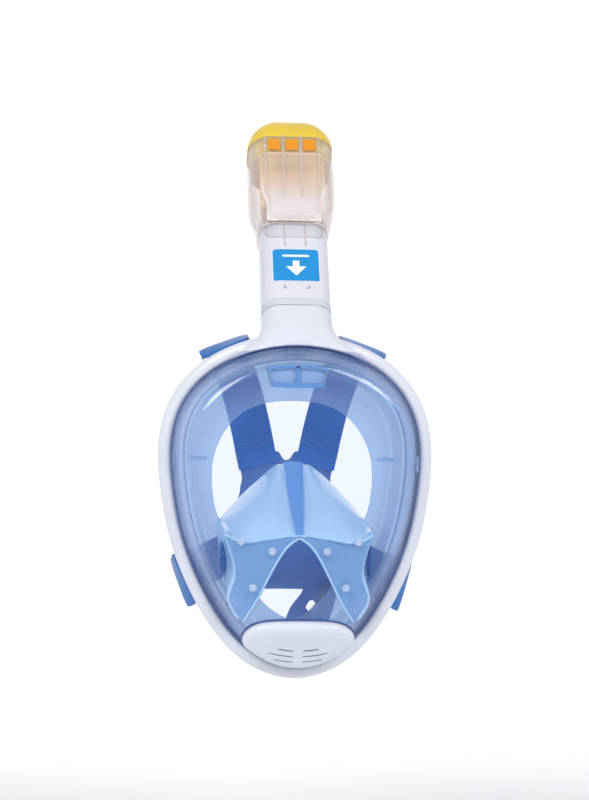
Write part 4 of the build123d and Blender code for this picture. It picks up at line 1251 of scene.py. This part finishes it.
def puff_up(pad):
    """Inflate the pad as pressurised cloth, moving no point further than PAD_MAX_PUFF."""
    before = np.array([v.co[:] for v in pad.data.vertices])
    cloth = pad.modifiers.new("cloth", "CLOTH")
    cloth.settings.use_pressure = True
    cloth.settings.uniform_pressure_force = 4.0
    cloth.settings.effector_weights.gravity = 0.0
    cloth.settings.quality = 5
    cloth.collision_settings.use_collision = False
    cloth.settings.tension_stiffness = 30
    cloth.settings.compression_stiffness = 30
    scene = bpy.context.scene
    for f in range(1, 15):
        scene.frame_set(f)
    evaluated = pad.evaluated_get(bpy.context.evaluated_depsgraph_get())
    after = np.array([v.co[:] for v in evaluated.to_mesh().vertices])
    evaluated.to_mesh_clear()
    pad.modifiers.clear()
    scene.frame_set(1)
    if after.shape == before.shape:
        move = after - before
        length = np.linalg.norm(move, axis=1, keepdims=True)
        move *= np.minimum(1.0, PAD_MAX_PUFF * MM / np.maximum(length, 1e-9))
        for v, point in zip(pad.data.vertices, before + move):
            v.co = point


def rear_pad():
    pad = soften("rear_pad", "head_pad", voxel=1.6, rounds=3, material=PAD)
    puff_up(pad)
    put(pad, "mask", "strap_webbing", "rear_pad")


def in_tail_hole(face):
    centre = face.calc_center_median()
    return (((centre.x / MM - HOLE_X) / HOLE_RADIUS_X) ** 2
            + ((centre.z / MM - HOLE_Z) / HOLE_RADIUS_Z) ** 2 < 1)


def pad_tail():
    """The loose end below the pad, with a hole in it."""
    left = smooth_resample(TAIL_LEFT, TAIL_ROWS, 3)
    right = smooth_resample(TAIL_RIGHT, TAIL_ROWS, 3)
    rows = []
    for i in range(TAIL_ROWS):
        down = i / (TAIL_ROWS - 1)
        row = []
        for k in np.linspace(0, 1, 18):
            x, z = lerp(left[i], right[i], k)
            row.append((x, 103.4 - 1.2 * math.sin(down * 3.0) - k * math.sin(down * 3.1), z))
        rows.append(row)
    tail = skin("pad_tail_web", rows, PAD, close=False, angle=0)
    bm = bmesh.new()
    bm.from_mesh(tail.data)
    hole = [face for face in bm.faces if in_tail_hole(face)]
    bmesh.ops.delete(bm, geom=hole, context="FACES")
    bm.to_mesh(tail.data)
    bm.free()
    thicken(tail, 1.6, offset=0.0)
    subdivide(tail)
    put(tail, "mask", "strap_webbing", "pad_tail")


def tail_curl():
    """The glossy strip that curls forwards over the tail."""
    rows = []
    for k in np.linspace(0, 1, 16):
        a = k * math.pi * 1.15
        x, z = lerp(31.5, 14.0, k), lerp(-63.0, -84.0, k)
        width = 5.0 * (1 - 0.45 * k)
        rows.append([(x + u * width * 0.5,
                      102.0 - 6.5 * math.sin(a) - 2.0 * u * math.cos(a),
                      z + u * width * 0.9 + 1.5 * math.cos(a)) for u in np.linspace(-1, 1, 12)])
    piece("pad_tail_curl", rows, TAIL_GLOSS, "strap_webbing", close=False, angle=0, thick=1.4,
          offset=0.0, divide=True)


# ---------------------------------------------------------------- stage, lights, camera: metres
FLOOR_Z, SWEEP_RADIUS, SWEEP_Y = -0.30, 0.6, 1.6
LIGHT_TARGET = (0, 0.05, 0.05)
# Area lights: name, place, target, width and height, watts
LIGHTS = (
    ("front_left", (-0.85, -1.6, 1.05), LIGHT_TARGET, (0.9, 0.7), 17),
    ("front_right", (0.85, -1.6, 1.05), LIGHT_TARGET, (0.9, 0.7), 14),
    ("left_soft", (-1.3, -0.1, 0.35), LIGHT_TARGET, (0.4, 1.2), 1.2),
    ("right_soft", (1.3, -0.1, 0.35), LIGHT_TARGET, (0.4, 1.2), 1.2),
    ("back_wall", (0.0, 0.8, 0.9), (0, 2.2, 0.5), (2.5, 1.2), 14),
)
CAMERA_TARGET = Vector((-0.0024, ORIGIN_Y * MM, 0.0745))
CAMERA_DISTANCE = 1.5
CAMERA_AZIMUTH, CAMERA_ROLL = math.radians(-4.3), math.radians(-0.7)
SENSOR_HEIGHT = 24  # mm
VIEW_HEIGHT = 0.5475  # what the camera sees at its target


def aim(offset):
    return offset.to_track_quat("-Z", "Y")


def paper_sweep():
    """A floor that curves up into the back wall."""
    profile = [(-3.0, FLOOR_Z), (1.2, FLOOR_Z)]
    for a in np.radians(np.linspace(-90, 0, 14)):
        profile.append((SWEEP_Y + SWEEP_RADIUS * math.cos(a),
                        FLOOR_Z + SWEEP_RADIUS + SWEEP_RADIUS * math.sin(a)))
    profile.append((SWEEP_Y + SWEEP_RADIUS, 3.2))
    verts = [(x, y, z) for y, z in profile for x in (-4, 4)]
    faces = [(2 * i, 2 * i + 1, 2 * i + 3, 2 * i + 2) for i in range(len(profile) - 1)]
    mesh = bpy.data.meshes.new("floor")
    mesh.from_pydata(verts, [], faces)
    floor = link_object("floor", mesh)
    mesh.materials.append(PAPER)
    shade_smooth(mesh)


def lights():
    for name, place, target, size, power in LIGHTS:
        light = bpy.data.lights.new(name, "AREA")
        light.shape = "RECTANGLE"
        light.size, light.size_y = size
        light.energy = power
        light.color = (1, 1, 1)
        o = link_object(name, light)
        o.location = place
        o.rotation_euler = aim(Vector(target) - Vector(place)).to_euler()


def world_and_render():
    scene = bpy.context.scene
    world = bpy.data.worlds.new("world")
    scene.world = world
    world.use_nodes = True
    background = world.node_tree.nodes["Background"]
    background.inputs["Color"].default_value = (0.97, 0.98, 1.0, 1)
    background.inputs["Strength"].default_value = 0.55
    scene.view_settings.view_transform = "Standard"
    scene.cycles.transparent_max_bounces = 40


def camera():
    data = bpy.data.cameras.new("camera")
    o = link_object("camera", data)
    o.location = CAMERA_TARGET + Vector((math.sin(CAMERA_AZIMUTH) * CAMERA_DISTANCE,
                                         -math.cos(CAMERA_AZIMUTH) * CAMERA_DISTANCE, 0))
    offset = CAMERA_TARGET - o.location
    roll = Matrix.Rotation(CAMERA_ROLL, 3, offset.normalized())
    o.rotation_euler = (roll @ aim(offset).to_matrix()).to_euler()
    data.sensor_fit = "VERTICAL"
    data.sensor_height = SENSOR_HEIGHT
    data.lens = SENSOR_HEIGHT * CAMERA_DISTANCE / VIEW_HEIGHT
    data.clip_end = 20
    bpy.context.scene.camera = o


# ---------------------------------------------------------------- build, in order
for build in (white_frame, lens_shell, lens_seat_and_seal, skirt, nose_cup, forehead_duct,
              lens_tabs, chin_cover, cover_slots, tube_shell, tube_label, tube_window,
              head_housing, cap_dome, air_windows, head_liner, float_details,
              clips_and_sliders, straps, button_spring, rear_pad, pad_tail, tail_curl,
              paper_sweep, lights, world_and_render, camera):
    build()

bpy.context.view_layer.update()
